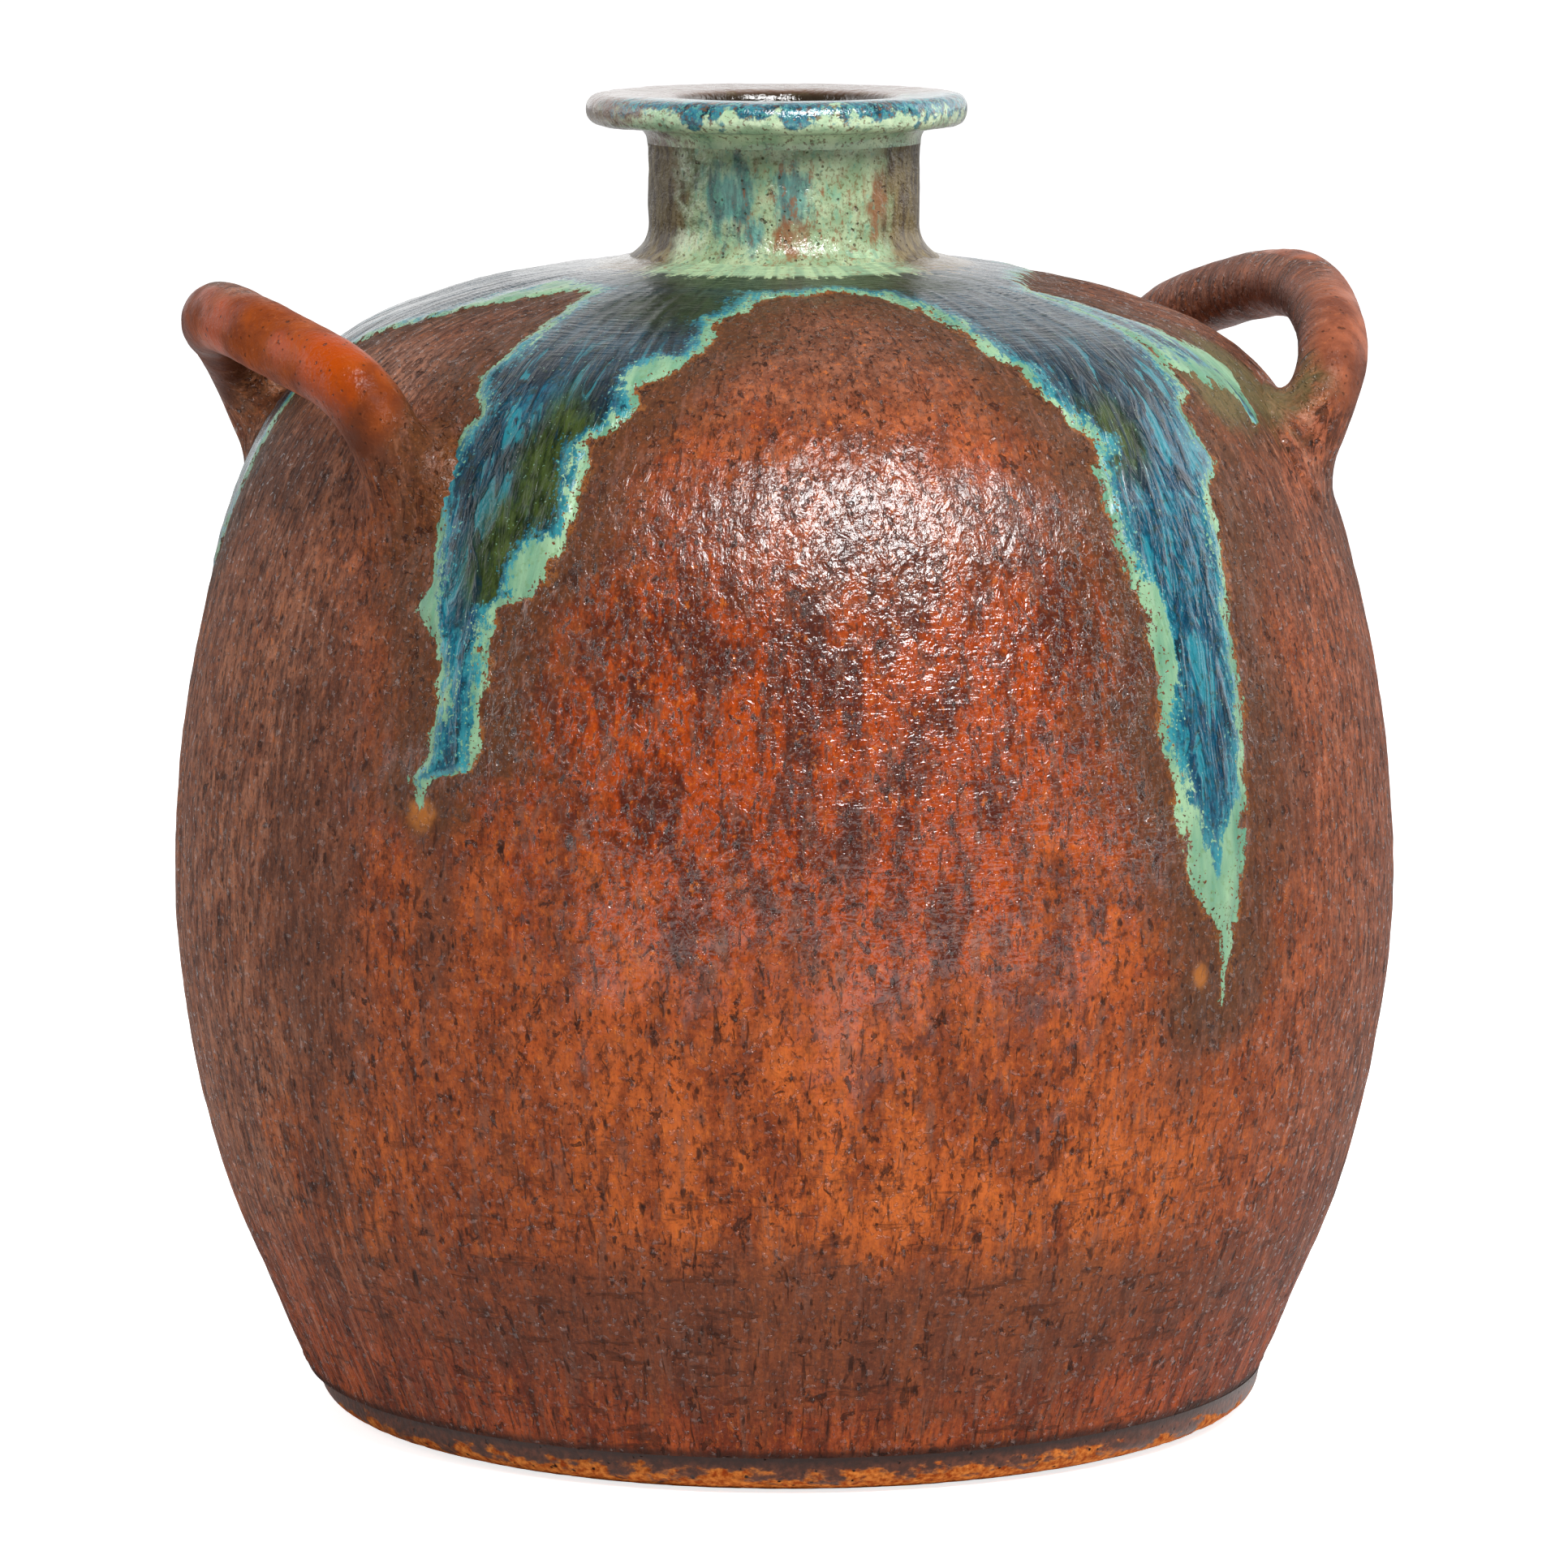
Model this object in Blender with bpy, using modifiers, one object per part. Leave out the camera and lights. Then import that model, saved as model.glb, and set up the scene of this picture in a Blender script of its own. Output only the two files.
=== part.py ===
"""Round stoneware vase with a flanged mouth, two looped shoulder handles and a poured drip glaze.

The vase stands on its foot ring at the origin, +Z up, with a handle towards -X and another
towards +X. It is thrown in sections that are luted together: foot ring, floor, lower and upper
wall, neck and rim. The handles are pulled rods pressed on to the shoulder. The glaze lies over
the clay as a collar round the neck and six runs that have crept down the wall.
"""

import bmesh
import bpy
import numpy as np
from math import cos, pi, radians, sin

# Sizes in metres
JOINT = 0.0003            # clearance left between two pieces that touch
BASE_R = 0.1232           # foot of the wall
BASE_ROLL = 0.0035        # rounding under the foot of the wall
BASE_OVERHANG = 0.0030    # how far the wall stands out over the foot ring
FOOT_W = 0.0202           # width of the foot ring at its top
FOOT_REST_W = 0.0108      # width of the flat that the vase rests on
FOOT_H = 0.0095
FOOT_OFF_CENTRE = 0.0014  # the ring was set on slightly towards +X
FOOT_WAIST_IN = 0.0010    # how far the ring's side draws in halfway down
FLOOR_T = 0.0090
WALL_T = 0.0090
BELLY_R = 0.1542
BELLY_RISE = 0.1245       # belly above the foot ring
SHOULDER_RISE = 0.1520    # top of the shoulder above the belly
NECK_SEAT_R = 0.0490      # where the shoulder ends and the neck's flare begins
NECK_R = 0.0341
NECK_RISE = 0.0309
NECK_FLARE_RISE = 0.0075
NECK_FLARE_LIP = 0.0006   # thickness of the flare's thin outer edge
BORE_R = 0.0263
RIM_R = 0.0477
RIM_T = 0.0085
RIM_ROUND = 0.0036        # rounding of the rim's two outer edges
RIM_COVE = 0.0040         # hollow curve from the rim's underside into the neck
RIM_OFF_CENTRE = 0.0020   # the flange is that much wider towards -X than towards +X
MOUTH_ROUND = 0.0022      # rounding of the mouth's edge
HANDLE_ROD_R = 0.0088
HANDLE_SPAN = 0.1266      # between the middles of one handle's two feet
HANDLE_SINK = 0.0044      # how far the feet's middles lie inside the wall's surface
LEFT_HANDLE_DROP = 0.0486 # middle of the feet below the top of the shoulder
LEFT_HANDLE_REACH = 0.0286
LEFT_HANDLE_RISE = 0.0396
RIGHT_HANDLE_DROP = 0.0461
RIGHT_HANDLE_REACH = 0.0237
RIGHT_HANDLE_RISE = 0.0390
HANDLE_ROOT = 0.0220      # rod carried on behind the surface, before it is cut back to it
HANDLE_FOOT_RUN = 0.0200  # length over which the rod widens towards the wall
HANDLE_FOOT_FLARE = 1.22  # the rod's widening where it meets the wall
HANDLE_ROOT_FLARE = 1.75  # the same at its root
GLAZE_T = 0.0009
GLAZE_EDGE = 0.42         # its share of that thickness at an edge
GLAZE_COLLAR_RUN = 0.0205 # width of the glaze collar, along the wall
GLAZE_COLLAR_START = 0.0012

# Height of the foot ring's waist as a share of the ring's height
FOOT_WAIST_SHARE = 0.55
# Form of the wall below the belly: 2 is an ellipse
LOWER_FULLNESS = 1.97
# Form of the shoulder, from belly to neck: share of the way in, share of the way up
SHOULDER_FORM = (
    (0.0, 0.0),
    (0.037, 0.300),
    (0.152, 0.628),
    (0.333, 0.838),
    (0.615, 0.949),
    (1.0, 1.0),
)
# Each handle: the side it is on, its drop, reach and rise, and its form from foot to crown in
# shares of half the span, of the reach and of the rise
HANDLES = {
    "left_handle": (
        -1, LEFT_HANDLE_DROP, LEFT_HANDLE_REACH, LEFT_HANDLE_RISE,
        (
            (0.0, 0.0, 0.0),
            (-0.030, 0.152, 0.296),
            (-0.015, 0.289, 0.508),
            (0.036, 0.412, 0.653),
            (0.115, 0.524, 0.746),
            (0.320, 0.713, 0.847),
            (0.656, 0.921, 0.952),
            (1.0, 1.0, 1.0),
        ),
    ),
    "right_handle": (
        1, RIGHT_HANDLE_DROP, RIGHT_HANDLE_REACH, RIGHT_HANDLE_RISE,
        (
            (0.0, 0.0, 0.0),
            (-0.036, 0.163, 0.260),
            (-0.024, 0.304, 0.453),
            (0.029, 0.424, 0.592),
            (0.108, 0.529, 0.692),
            (0.319, 0.705, 0.818),
            (0.658, 0.913, 0.946),
            (1.0, 1.0, 1.0),
        ),
    ),
}
# Each run of glaze, from the collar down: distance along the wall from the neck's seat, then the
# angles of its left and right edge in degrees from -Y towards +X
GLAZE_RUNS = {
    "drip_front_left": (
        (0.022, -61, -23), (0.034, -58, -26), (0.052, -56.7, -29), (0.066, -57, -34.5),
        (0.080, -55, -36.5), (0.102, -54.2, -39.5), (0.123, -53.8, -41.5), (0.139, -52.6, -46.3),
        (0.164, -52, -47), (0.176, -52.2, -49.8),
    ),
    "drip_front_right": (
        (0.022, 3.5, 38.4), (0.045, 9.5, 38.4), (0.066, 13.5, 37.5), (0.080, 16.5, 34),
        (0.102, 17, 32.3), (0.139, 19.6, 30.2), (0.174, 20.2, 29.2), (0.199, 22.5, 27.2),
        (0.226, 24.5, 25.7),
    ),
    "drip_right_shoulder": (
        (0.022, 39.4, 50), (0.040, 39.4, 50), (0.060, 39.4, 51), (0.074, 42.6, 51),
        (0.089, 46.2, 48.7),
    ),
    "drip_under_left_handle": (
        (0.022, -126, -70), (0.040, -123, -80), (0.060, -117, -90), (0.080, -111, -96),
        (0.105, -108, -98), (0.128, -106, -101),
    ),
    "drip_back_left": (
        (0.022, -176, -134), (0.045, -170, -138), (0.070, -164, -142), (0.100, -158, -145),
        (0.140, -154, -147), (0.170, -151.5, -149),
    ),
    "drip_back_right": (
        (0.022, 122, 176), (0.045, 132, 172), (0.070, 137, 163), (0.100, 139, 157),
        (0.130, 143, 153), (0.150, 147, 150),
    ),
}

# Each piece's colour, roughness and depth of clear gloss
FINISHES = {
    "foot_ring": ((0.30, 0.12, 0.05), 0.75, 0.0),
    "floor_slab": ((0.42, 0.19, 0.09), 0.75, 0.0),
    "lower_wall": ((0.24, 0.070, 0.034), 0.45, 0.2),
    "upper_wall": ((0.28, 0.075, 0.030), 0.35, 0.4),
    "neck": ((0.25, 0.38, 0.27), 0.35, 0.4),
    "rim": ((0.20, 0.36, 0.30), 0.25, 0.6),
    "left_handle": ((0.36, 0.11, 0.035), 0.40, 0.3),
    "right_handle": ((0.30, 0.11, 0.060), 0.45, 0.2),
    "glaze_collar": ((0.05, 0.16, 0.12), 0.15, 0.8),
    "drip_front_left": ((0.04, 0.20, 0.24), 0.15, 0.8),
    "drip_front_right": ((0.02, 0.22, 0.34), 0.15, 0.8),
    "drip_right_shoulder": ((0.14, 0.34, 0.32), 0.20, 0.7),
    "drip_under_left_handle": ((0.10, 0.26, 0.30), 0.20, 0.7),
    "drip_back_left": ((0.04, 0.20, 0.28), 0.15, 0.8),
    "drip_back_right": ((0.05, 0.22, 0.26), 0.15, 0.8),
}

# Facets
TURN_STEPS = 64
NECK_STEPS = 48
ROD_SIDES = 12
ROD_RINGS = 24
RUN_COLUMNS = 5
UPPER_ROWS = 16
UPPER_INSIDE_ROWS = 6
LOWER_ROWS = 9
LOWER_INSIDE_ROWS = 4
ARC_STEPS = 3

# Radii and heights that follow from the sizes
FOOT_R = BASE_R - BASE_OVERHANG
FOOT_BORE_R = FOOT_R - FOOT_W
FOOT_REST_R = FOOT_BORE_R + FOOT_REST_W
WALL_BOTTOM = FOOT_H + JOINT
BELLY_Z = FOOT_H + BELLY_RISE
SHOULDER_Z = BELLY_Z + SHOULDER_RISE
NECK_BOTTOM = SHOULDER_Z + JOINT
NECK_TOP = NECK_BOTTOM + NECK_RISE
RIM_BOTTOM = NECK_TOP + JOINT
RIM_UNDERSIDE = RIM_BOTTOM + RIM_COVE
RIM_TOP = RIM_UNDERSIDE + RIM_T


def clear_scene():
    for obj in list(bpy.data.objects):
        bpy.data.objects.remove(obj, do_unlink=True)


def new_collection(name):
    collection = bpy.data.collections.new(name)
    bpy.context.scene.collection.children.link(collection)
    return collection


def fired_material(name, colour, roughness, coat=0.0):
    material = bpy.data.materials.new(name)
    material.use_nodes = True
    shader = material.node_tree.nodes["Principled BSDF"]
    shader.inputs["Base Color"].default_value = (*colour, 1.0)
    shader.inputs["Roughness"].default_value = roughness
    shader.inputs["Metallic"].default_value = 0.0
    shader.inputs["Coat Weight"].default_value = coat
    material.diffuse_color = (*colour, 1.0)
    return material


def smooth_line(stations, steps):
    """Centripetal spline through the stations, with this many steps between each two."""
    points = [np.array(point, float) for point in stations]
    points = [2 * points[0] - points[1], *points, 2 * points[-1] - points[-2]]
    line = []
    for before, start, end, after in zip(points, points[1:], points[2:], points[3:]):
        t0 = 0.0
        t1 = t0 + np.linalg.norm(start - before) ** 0.5
        t2 = t1 + np.linalg.norm(end - start) ** 0.5
        t3 = t2 + np.linalg.norm(after - end) ** 0.5
        for t in np.linspace(t1, t2, steps, endpoint=False):
            a1 = before + (start - before) * (t - t0) / (t1 - t0)
            a2 = start + (end - start) * (t - t1) / (t2 - t1)
            a3 = end + (after - end) * (t - t2) / (t3 - t2)
            b1 = a1 + (a2 - a1) * (t - t0) / (t2 - t0)
            b2 = a2 + (a3 - a2) * (t - t1) / (t3 - t1)
            line.append(b1 + (b2 - b1) * (t - t1) / (t2 - t1))
    line.append(points[-2])
    return np.array(line)


def lengths_along(line):
    return np.r_[0.0, np.cumsum(np.linalg.norm(np.diff(line, axis=0), axis=1))]


def even_points(line, count):
    """The same line with its points evenly spaced."""
    along = lengths_along(line)
    wanted = np.linspace(0.0, along[-1], count)
    return np.stack([np.interp(wanted, along, line[:, axis]) for axis in range(line.shape[1])], 1)


def offset_line(line, distance):
    """The line moved towards the axis and down by its own normal, or outwards if negative."""
    run = np.gradient(line, axis=0)
    run /= np.linalg.norm(run, axis=1)[:, None]
    return line + distance * np.stack([run[:, 1], -run[:, 0]], 1)


def arc(centre_r, centre_z, radius, start, end):
    """Points on an arc in the profile plane; angles in degrees from +X towards +Z."""
    angles = [radians(start + (end - start) * step / ARC_STEPS) for step in range(ARC_STEPS + 1)]
    return [(centre_r + radius * cos(angle), centre_z + radius * sin(angle)) for angle in angles]


def shoulder_line():
    """Outside of the upper wall, from the neck's seat out and down to the belly."""
    stations = [
        (BELLY_R + share_in * (NECK_SEAT_R - BELLY_R), BELLY_Z + share_up * SHOULDER_RISE)
        for share_in, share_up in reversed(SHOULDER_FORM)
    ]
    below_belly = lower_wall_point(0.25)
    line = smooth_line([*stations, below_belly], 16)
    return line[:-16]


def lower_wall_point(share_down):
    height = BELLY_Z - (WALL_BOTTOM + BASE_ROLL)
    radius = BELLY_R - (BELLY_R - BASE_R) * share_down**LOWER_FULLNESS
    return radius, BELLY_Z - share_down * height


def lower_wall_line():
    """Outside of the lower wall, from the belly down to where it rolls under."""
    return np.array([lower_wall_point(step / 60) for step in range(61)])


def wall_line():
    """Outside of the whole wall as its facets have it, so that what lies on it stays clear of it."""
    upper = even_points(shoulder_line(), UPPER_ROWS + 1)
    lower = even_points(lower_wall_line(), LOWER_ROWS + 1)
    return np.concatenate([upper, lower[1:]])


def rows_between(start, end):
    """Distances down the wall from start to end that include each ring of facets and its middle."""
    along = lengths_along(wall_line())
    middles = 0.5 * (along[1:] + along[:-1])
    rings = sorted([*along, *middles])
    margin = 0.1 * (rings[1] - rings[0])
    return [start, *[ring for ring in rings if start + margin < ring < end - margin], end]


def turned(name, profile, material, collection, steps=TURN_STEPS, closed=True):
    """A profile of (radius, height) points, outer side first and top to bottom, spun round Z."""
    mesh = bpy.data.meshes.new(name)
    count = len(profile)
    edges = [(index, index + 1) for index in range(count - 1)]
    if closed:
        edges.append((count - 1, 0))
    mesh.from_pydata([(radius, 0.0, height) for radius, height in profile], edges, [])
    obj = bpy.data.objects.new(name, mesh)
    collection.objects.link(obj)
    screw = obj.modifiers.new("Turn", "SCREW")
    screw.axis = "Z"
    screw.angle = 2 * pi
    screw.steps = steps
    screw.render_steps = steps
    screw.use_merge_vertices = True
    screw.merge_threshold = 0.00001
    screw.use_smooth_shade = True
    if material:
        mesh.materials.append(material)
    return obj


def evaluated_mesh(obj):
    """The object with its bevel or modifiers made into a welded mesh, under the same name."""
    name = obj.name
    bpy.context.view_layer.update()
    evaluated = obj.evaluated_get(bpy.context.evaluated_depsgraph_get())
    mesh = bpy.data.meshes.new_from_object(evaluated)
    work = bmesh.new()
    work.from_mesh(mesh)
    bmesh.ops.remove_doubles(work, verts=work.verts, dist=0.00001)
    bmesh.ops.recalc_face_normals(work, faces=work.faces)
    work.to_mesh(mesh)
    work.free()
    collection = obj.users_collection[0]
    matrix = obj.matrix_world.copy()
    bpy.data.objects.remove(obj, do_unlink=True)
    result = bpy.data.objects.new(name, mesh)
    result.matrix_world = matrix
    collection.objects.link(result)
    return result


def foot_ring(material, collection):
    waist = (FOOT_R - FOOT_WAIST_IN, FOOT_H * FOOT_WAIST_SHARE)
    side = smooth_line(((FOOT_R, FOOT_H), waist, (FOOT_REST_R, 0.0)), 3)
    bore = [(FOOT_BORE_R, 0.0), (FOOT_BORE_R, FOOT_H)]
    ring = turned("foot_ring", [tuple(point) for point in side] + bore, material, collection)
    ring.location.x = FOOT_OFF_CENTRE
    return ring


def inner_foot_radius():
    """Inside of the lower wall where it meets the foot ring."""
    return BASE_R - WALL_T


def floor_slab(material, collection):
    radius = inner_foot_radius() - JOINT
    top = WALL_BOTTOM + FLOOR_T
    profile = [(0.0, top), (radius - 0.5 * FLOOR_T, top)]
    profile += [(radius, top - 0.25 * FLOOR_T), (radius, WALL_BOTTOM), (0.0, WALL_BOTTOM)]
    return turned("floor_slab", profile, material, collection, closed=False)


def lower_wall(material, collection):
    outside = even_points(lower_wall_line(), LOWER_ROWS + 1)
    roll_centre = BASE_R - BASE_ROLL
    roll = arc(roll_centre, WALL_BOTTOM + BASE_ROLL, BASE_ROLL, 0, -90)[1:]
    inside = even_points(offset_line(lower_wall_line(), WALL_T), LOWER_INSIDE_ROWS + 1)
    inside = [tuple(point) for point in inside[::-1]]
    seat = [(inner_foot_radius(), WALL_BOTTOM)]
    inside = [(max(radius, inner_foot_radius()), height) for radius, height in inside]
    inside[-1] = (BELLY_R - WALL_T, BELLY_Z)
    profile = [tuple(point) for point in outside] + roll + seat + inside
    return turned("lower_wall", profile, material, collection)


def upper_wall(material, collection):
    outside = even_points(shoulder_line(), UPPER_ROWS + 1)
    outside[-1] = (BELLY_R, BELLY_Z + JOINT)
    under = offset_line(shoulder_line(), WALL_T)
    inside = even_points(under, UPPER_INSIDE_ROWS + 1)[::-1]
    inside[0] = (BELLY_R - WALL_T, BELLY_Z + JOINT)
    under_neck = inside[-1][1]
    profile = [tuple(point) for point in outside] + [tuple(point) for point in inside]
    profile += [(BORE_R, under_neck), (BORE_R, SHOULDER_Z)]
    return turned("upper_wall", profile, material, collection)


def neck(material, collection):
    flare = NECK_SEAT_R - NECK_R
    profile = [(NECK_R, NECK_TOP), (NECK_R, NECK_BOTTOM + NECK_FLARE_RISE)]
    for step in range(1, 6):
        angle = 0.5 * pi * step / 5
        radius = NECK_R + flare * (1 - cos(angle))
        height = NECK_BOTTOM + NECK_FLARE_LIP + (NECK_FLARE_RISE - NECK_FLARE_LIP) * (1 - sin(angle))
        profile.append((radius, height))
    profile += [(NECK_SEAT_R, NECK_BOTTOM), (BORE_R, NECK_BOTTOM), (BORE_R, NECK_TOP)]
    return turned("neck", profile, material, collection, steps=NECK_STEPS)


def rim(material, collection):
    lip = RIM_R - RIM_ROUND
    profile = arc(lip, RIM_TOP - RIM_ROUND, RIM_ROUND, 90, 0)
    profile += arc(lip, RIM_UNDERSIDE + RIM_ROUND, RIM_ROUND, 0, -90)
    profile += arc(NECK_R + RIM_COVE, RIM_UNDERSIDE - RIM_COVE, RIM_COVE, 90, 180)
    profile += [(BORE_R, RIM_BOTTOM)]
    profile += arc(BORE_R + MOUTH_ROUND, RIM_TOP - MOUTH_ROUND, MOUTH_ROUND, 180, 90)
    ring = evaluated_mesh(turned("rim", profile, material, collection, steps=NECK_STEPS))
    for vertex in ring.data.vertices:
        way_out = (vertex.co.xy.length - NECK_R) / (RIM_R - NECK_R)
        vertex.co.x -= RIM_OFF_CENTRE * min(max(way_out, 0.0), 1.0)
    return ring


def radius_at(height):
    line = wall_line()[::-1]
    return float(np.interp(height, line[:, 1], line[:, 0]))


def handle_line(side, foot_drop, reach, rise, form):
    """Middle of one rod, from a root behind the wall over the crown to its other root."""
    foot_z = SHOULDER_Z - foot_drop
    half_span = HANDLE_SPAN / 2
    foot_radius = radius_at(foot_z) - HANDLE_SINK
    foot_x = (foot_radius**2 - half_span**2) ** 0.5
    half = [
        np.array((foot_x + share_out * reach, (across - 1) * half_span, foot_z + share_up * rise))
        for across, share_out, share_up in form
    ]
    inward = half[0] - half[1]
    root = half[0] + HANDLE_ROOT * inward / np.linalg.norm(inward)
    half = [root, *half]
    other_half = [point * (1, -1, 1) for point in half[-2::-1]]
    return even_points(smooth_line(half + other_half, 10), ROD_RINGS) * (side, side, 1)


def rod_curve(name, line, material, collection):
    curve = bpy.data.curves.new(name, "CURVE")
    curve.dimensions = "3D"
    curve.bevel_depth = HANDLE_ROD_R
    curve.bevel_resolution = ROD_SIDES // 2 - 2
    curve.use_fill_caps = True
    curve.twist_mode = "MINIMUM"
    spline = curve.splines.new("POLY")
    spline.points.add(len(line) - 1)
    along = lengths_along(line)
    flare_runs = (0.0, HANDLE_ROOT, HANDLE_ROOT + HANDLE_FOOT_RUN)
    flares = (HANDLE_ROOT_FLARE, HANDLE_FOOT_FLARE, 1.0)
    for point, place, run in zip(spline.points, line, along):
        from_end = min(run, along[-1] - run)
        point.co = (*place, 1.0)
        point.radius = float(np.interp(from_end, flare_runs, flares))
    obj = bpy.data.objects.new(name, curve)
    collection.objects.link(obj)
    obj.data.materials.append(material)
    return obj


def body_cutter(collection):
    """The whole body, solid and a joint's width larger, to cut the handles' feet to the wall."""
    outer = offset_line(wall_line(), -JOINT)
    profile = [(0.0, outer[0][1]), *[tuple(point) for point in outer], (0.0, outer[-1][1])]
    cutter = turned("body_cutter", profile, None, collection, closed=False)
    cutter.hide_render = True
    cutter.display_type = "WIRE"
    return cutter


def handle(name, material, collection, cutter):
    line = handle_line(*HANDLES[name])
    rod = evaluated_mesh(rod_curve(name, line, material, collection))
    cut = rod.modifiers.new("Seat on the wall", "BOOLEAN")
    cut.operation = "DIFFERENCE"
    cut.solver = "EXACT"
    cut.object = cutter
    for face in rod.data.polygons:
        face.use_smooth = True
    return rod


def glaze_bed():
    """The line that the glaze lies on, just off the wall, and the distance along the wall to it."""
    line = wall_line()
    return lengths_along(line), offset_line(line, -JOINT)


def glaze_collar(material, collection):
    along, line = glaze_bed()
    runs = rows_between(GLAZE_COLLAR_START, GLAZE_COLLAR_START + GLAZE_COLLAR_RUN)
    bed = [tuple(np.interp(run, along, line[:, axis]) for axis in (0, 1)) for run in runs]
    swell = [GLAZE_EDGE, *[1.0] * (len(runs) - 2), GLAZE_EDGE]
    top = [(radius, height + GLAZE_T * share) for (radius, height), share in zip(bed, swell)]
    return turned("glaze_collar", top + bed[::-1], material, collection)


def glaze_run(name, material, collection):
    """A thin tongue of glaze: a grid laid on the wall between two edges, thicker along its middle."""
    along, line = glaze_bed()
    edges = smooth_line(GLAZE_RUNS[name], 8)
    runs = rows_between(edges[0][0], edges[-1][0])
    last = len(runs) - 1
    work = bmesh.new()
    bmesh.ops.create_grid(work, x_segments=RUN_COLUMNS, y_segments=last, size=1.0)
    weights = []
    for vertex in work.verts:
        across = 0.5 * (vertex.co.x + 1)
        row = round((1 - vertex.co.y) * 0.5 * last)
        left, right = (np.interp(runs[row], edges[:, 0], edges[:, side]) for side in (1, 2))
        turn = radians(left + (right - left) * across)
        radius, height = (np.interp(runs[row], along, line[:, axis]) for axis in (0, 1))
        vertex.co = (radius * sin(turn), -radius * cos(turn), height)
        crown = 1 - (2 * across - 1) ** 2
        weights.append(0.0 if row in (0, last) else crown**0.5)
    mesh = bpy.data.meshes.new(name)
    work.to_mesh(mesh)
    work.free()
    mesh.materials.append(material)
    obj = bpy.data.objects.new(name, mesh)
    collection.objects.link(obj)
    group = obj.vertex_groups.new(name="middle")
    for index, weight in enumerate(weights):
        group.add([index], weight, "REPLACE")
    shell = obj.modifiers.new("Glaze thickness", "SOLIDIFY")
    shell.thickness = GLAZE_T
    shell.offset = 1.0
    shell.vertex_group = group.name
    shell.thickness_vertex_group = GLAZE_EDGE
    for face in mesh.polygons:
        face.use_smooth = True
    return obj


def build():
    clear_scene()
    vase = new_collection("drip_glaze_vase")
    cutters = new_collection("cutters")
    materials = {name: fired_material(name, *finish) for name, finish in FINISHES.items()}
    foot_ring(materials["foot_ring"], vase)
    floor_slab(materials["floor_slab"], vase)
    lower_wall(materials["lower_wall"], vase)
    upper_wall(materials["upper_wall"], vase)
    neck(materials["neck"], vase)
    rim(materials["rim"], vase)
    cutter = body_cutter(cutters)
    for name in HANDLES:
        handle(name, materials[name], vase, cutter)
    glaze_collar(materials["glaze_collar"], vase)
    for name in GLAZE_RUNS:
        glaze_run(name, materials[name], vase)


build()
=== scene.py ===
from math import atan2, cos, degrees, radians, sin

import bpy
import numpy as np
from mathutils import Matrix, Vector, noise


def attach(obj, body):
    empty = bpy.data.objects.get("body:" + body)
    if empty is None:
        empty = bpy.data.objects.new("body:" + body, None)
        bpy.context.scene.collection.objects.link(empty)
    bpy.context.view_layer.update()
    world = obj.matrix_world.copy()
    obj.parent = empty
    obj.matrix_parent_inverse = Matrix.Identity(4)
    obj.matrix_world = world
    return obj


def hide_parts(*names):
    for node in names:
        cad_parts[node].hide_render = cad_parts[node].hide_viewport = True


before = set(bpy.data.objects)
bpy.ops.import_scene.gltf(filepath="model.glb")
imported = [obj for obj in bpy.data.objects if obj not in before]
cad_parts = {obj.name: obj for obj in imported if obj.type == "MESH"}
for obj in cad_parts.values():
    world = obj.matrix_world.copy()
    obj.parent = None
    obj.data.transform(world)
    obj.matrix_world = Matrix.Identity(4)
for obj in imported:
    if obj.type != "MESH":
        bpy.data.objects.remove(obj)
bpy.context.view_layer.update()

# ---- Foot ring ----
# The ring of coarse clay that the vase stands on, turned when leather hard a little off the
# middle. Brown glaze runs down its side, and its worn lower edge shows the bare orange clay.
MM = 0.001
WELD = 0.01 * MM
SKIN_R = 150
COAT_ROUGHNESS, COAT_IOR = 0.09, 1.65
FOOT_OFF_CENTRE = 1.4
FOOT_EDGE, EDGE_REACH, FOOT_MID_R = 1.2, 3.2, 108
FOOT_SECTION = (
    (120.1, 9.9), (119.9, 9.0), (119.5, 7.6), (119.2, 6.0), (118.7, 4.6), (117.8, 3.2),
    (116.2, 1.9), (114.0, 1.0), (111.8, 0.3), (110.2, 0.0), (107.0, 0.0), (103.4, 0.0),
    (101.4, 0.4), (100.2, 1.6), (100.0, 4.0), (100.0, 7.0), (100.0, 9.9),
)


def drawn(name, points, closed=False):
    """A chain of edges through points in millimetres, extruded from one corner."""
    bpy.ops.object.select_all(action="DESELECT")
    bpy.ops.mesh.primitive_plane_add(size=MM, location=(0, 0, 0))
    piece = bpy.context.object
    piece.name = piece.data.name = name
    bpy.ops.object.mode_set(mode="EDIT")
    bpy.ops.mesh.merge(type="CENTER")
    bpy.ops.transform.translate(value=[MM * part for part in points[0]])
    for here, there in zip(points, points[1:]):
        reach = [MM * (after - before) for before, after in zip(here, there)]
        bpy.ops.mesh.extrude_region_move(TRANSFORM_OT_translate={"value": reach})
    if closed:
        bpy.ops.object.mode_set(mode="OBJECT")
        for index, corner in enumerate(piece.data.vertices):
            corner.select = index in (0, len(points) - 1)
        bpy.ops.object.mode_set(mode="EDIT")
        bpy.ops.mesh.edge_face_add()
    bpy.ops.object.mode_set(mode="OBJECT")
    return piece


def cleaned(sharp):
    """Welds the object in hand, turns its faces outward and shades it smooth up to this angle."""
    bpy.ops.object.mode_set(mode="EDIT")
    bpy.ops.mesh.select_all(action="SELECT")
    bpy.ops.mesh.remove_doubles(threshold=WELD)
    bpy.ops.mesh.normals_make_consistent(inside=False)
    bpy.ops.object.mode_set(mode="OBJECT")
    bpy.ops.object.shade_smooth_by_angle(angle=radians(sharp))


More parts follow.
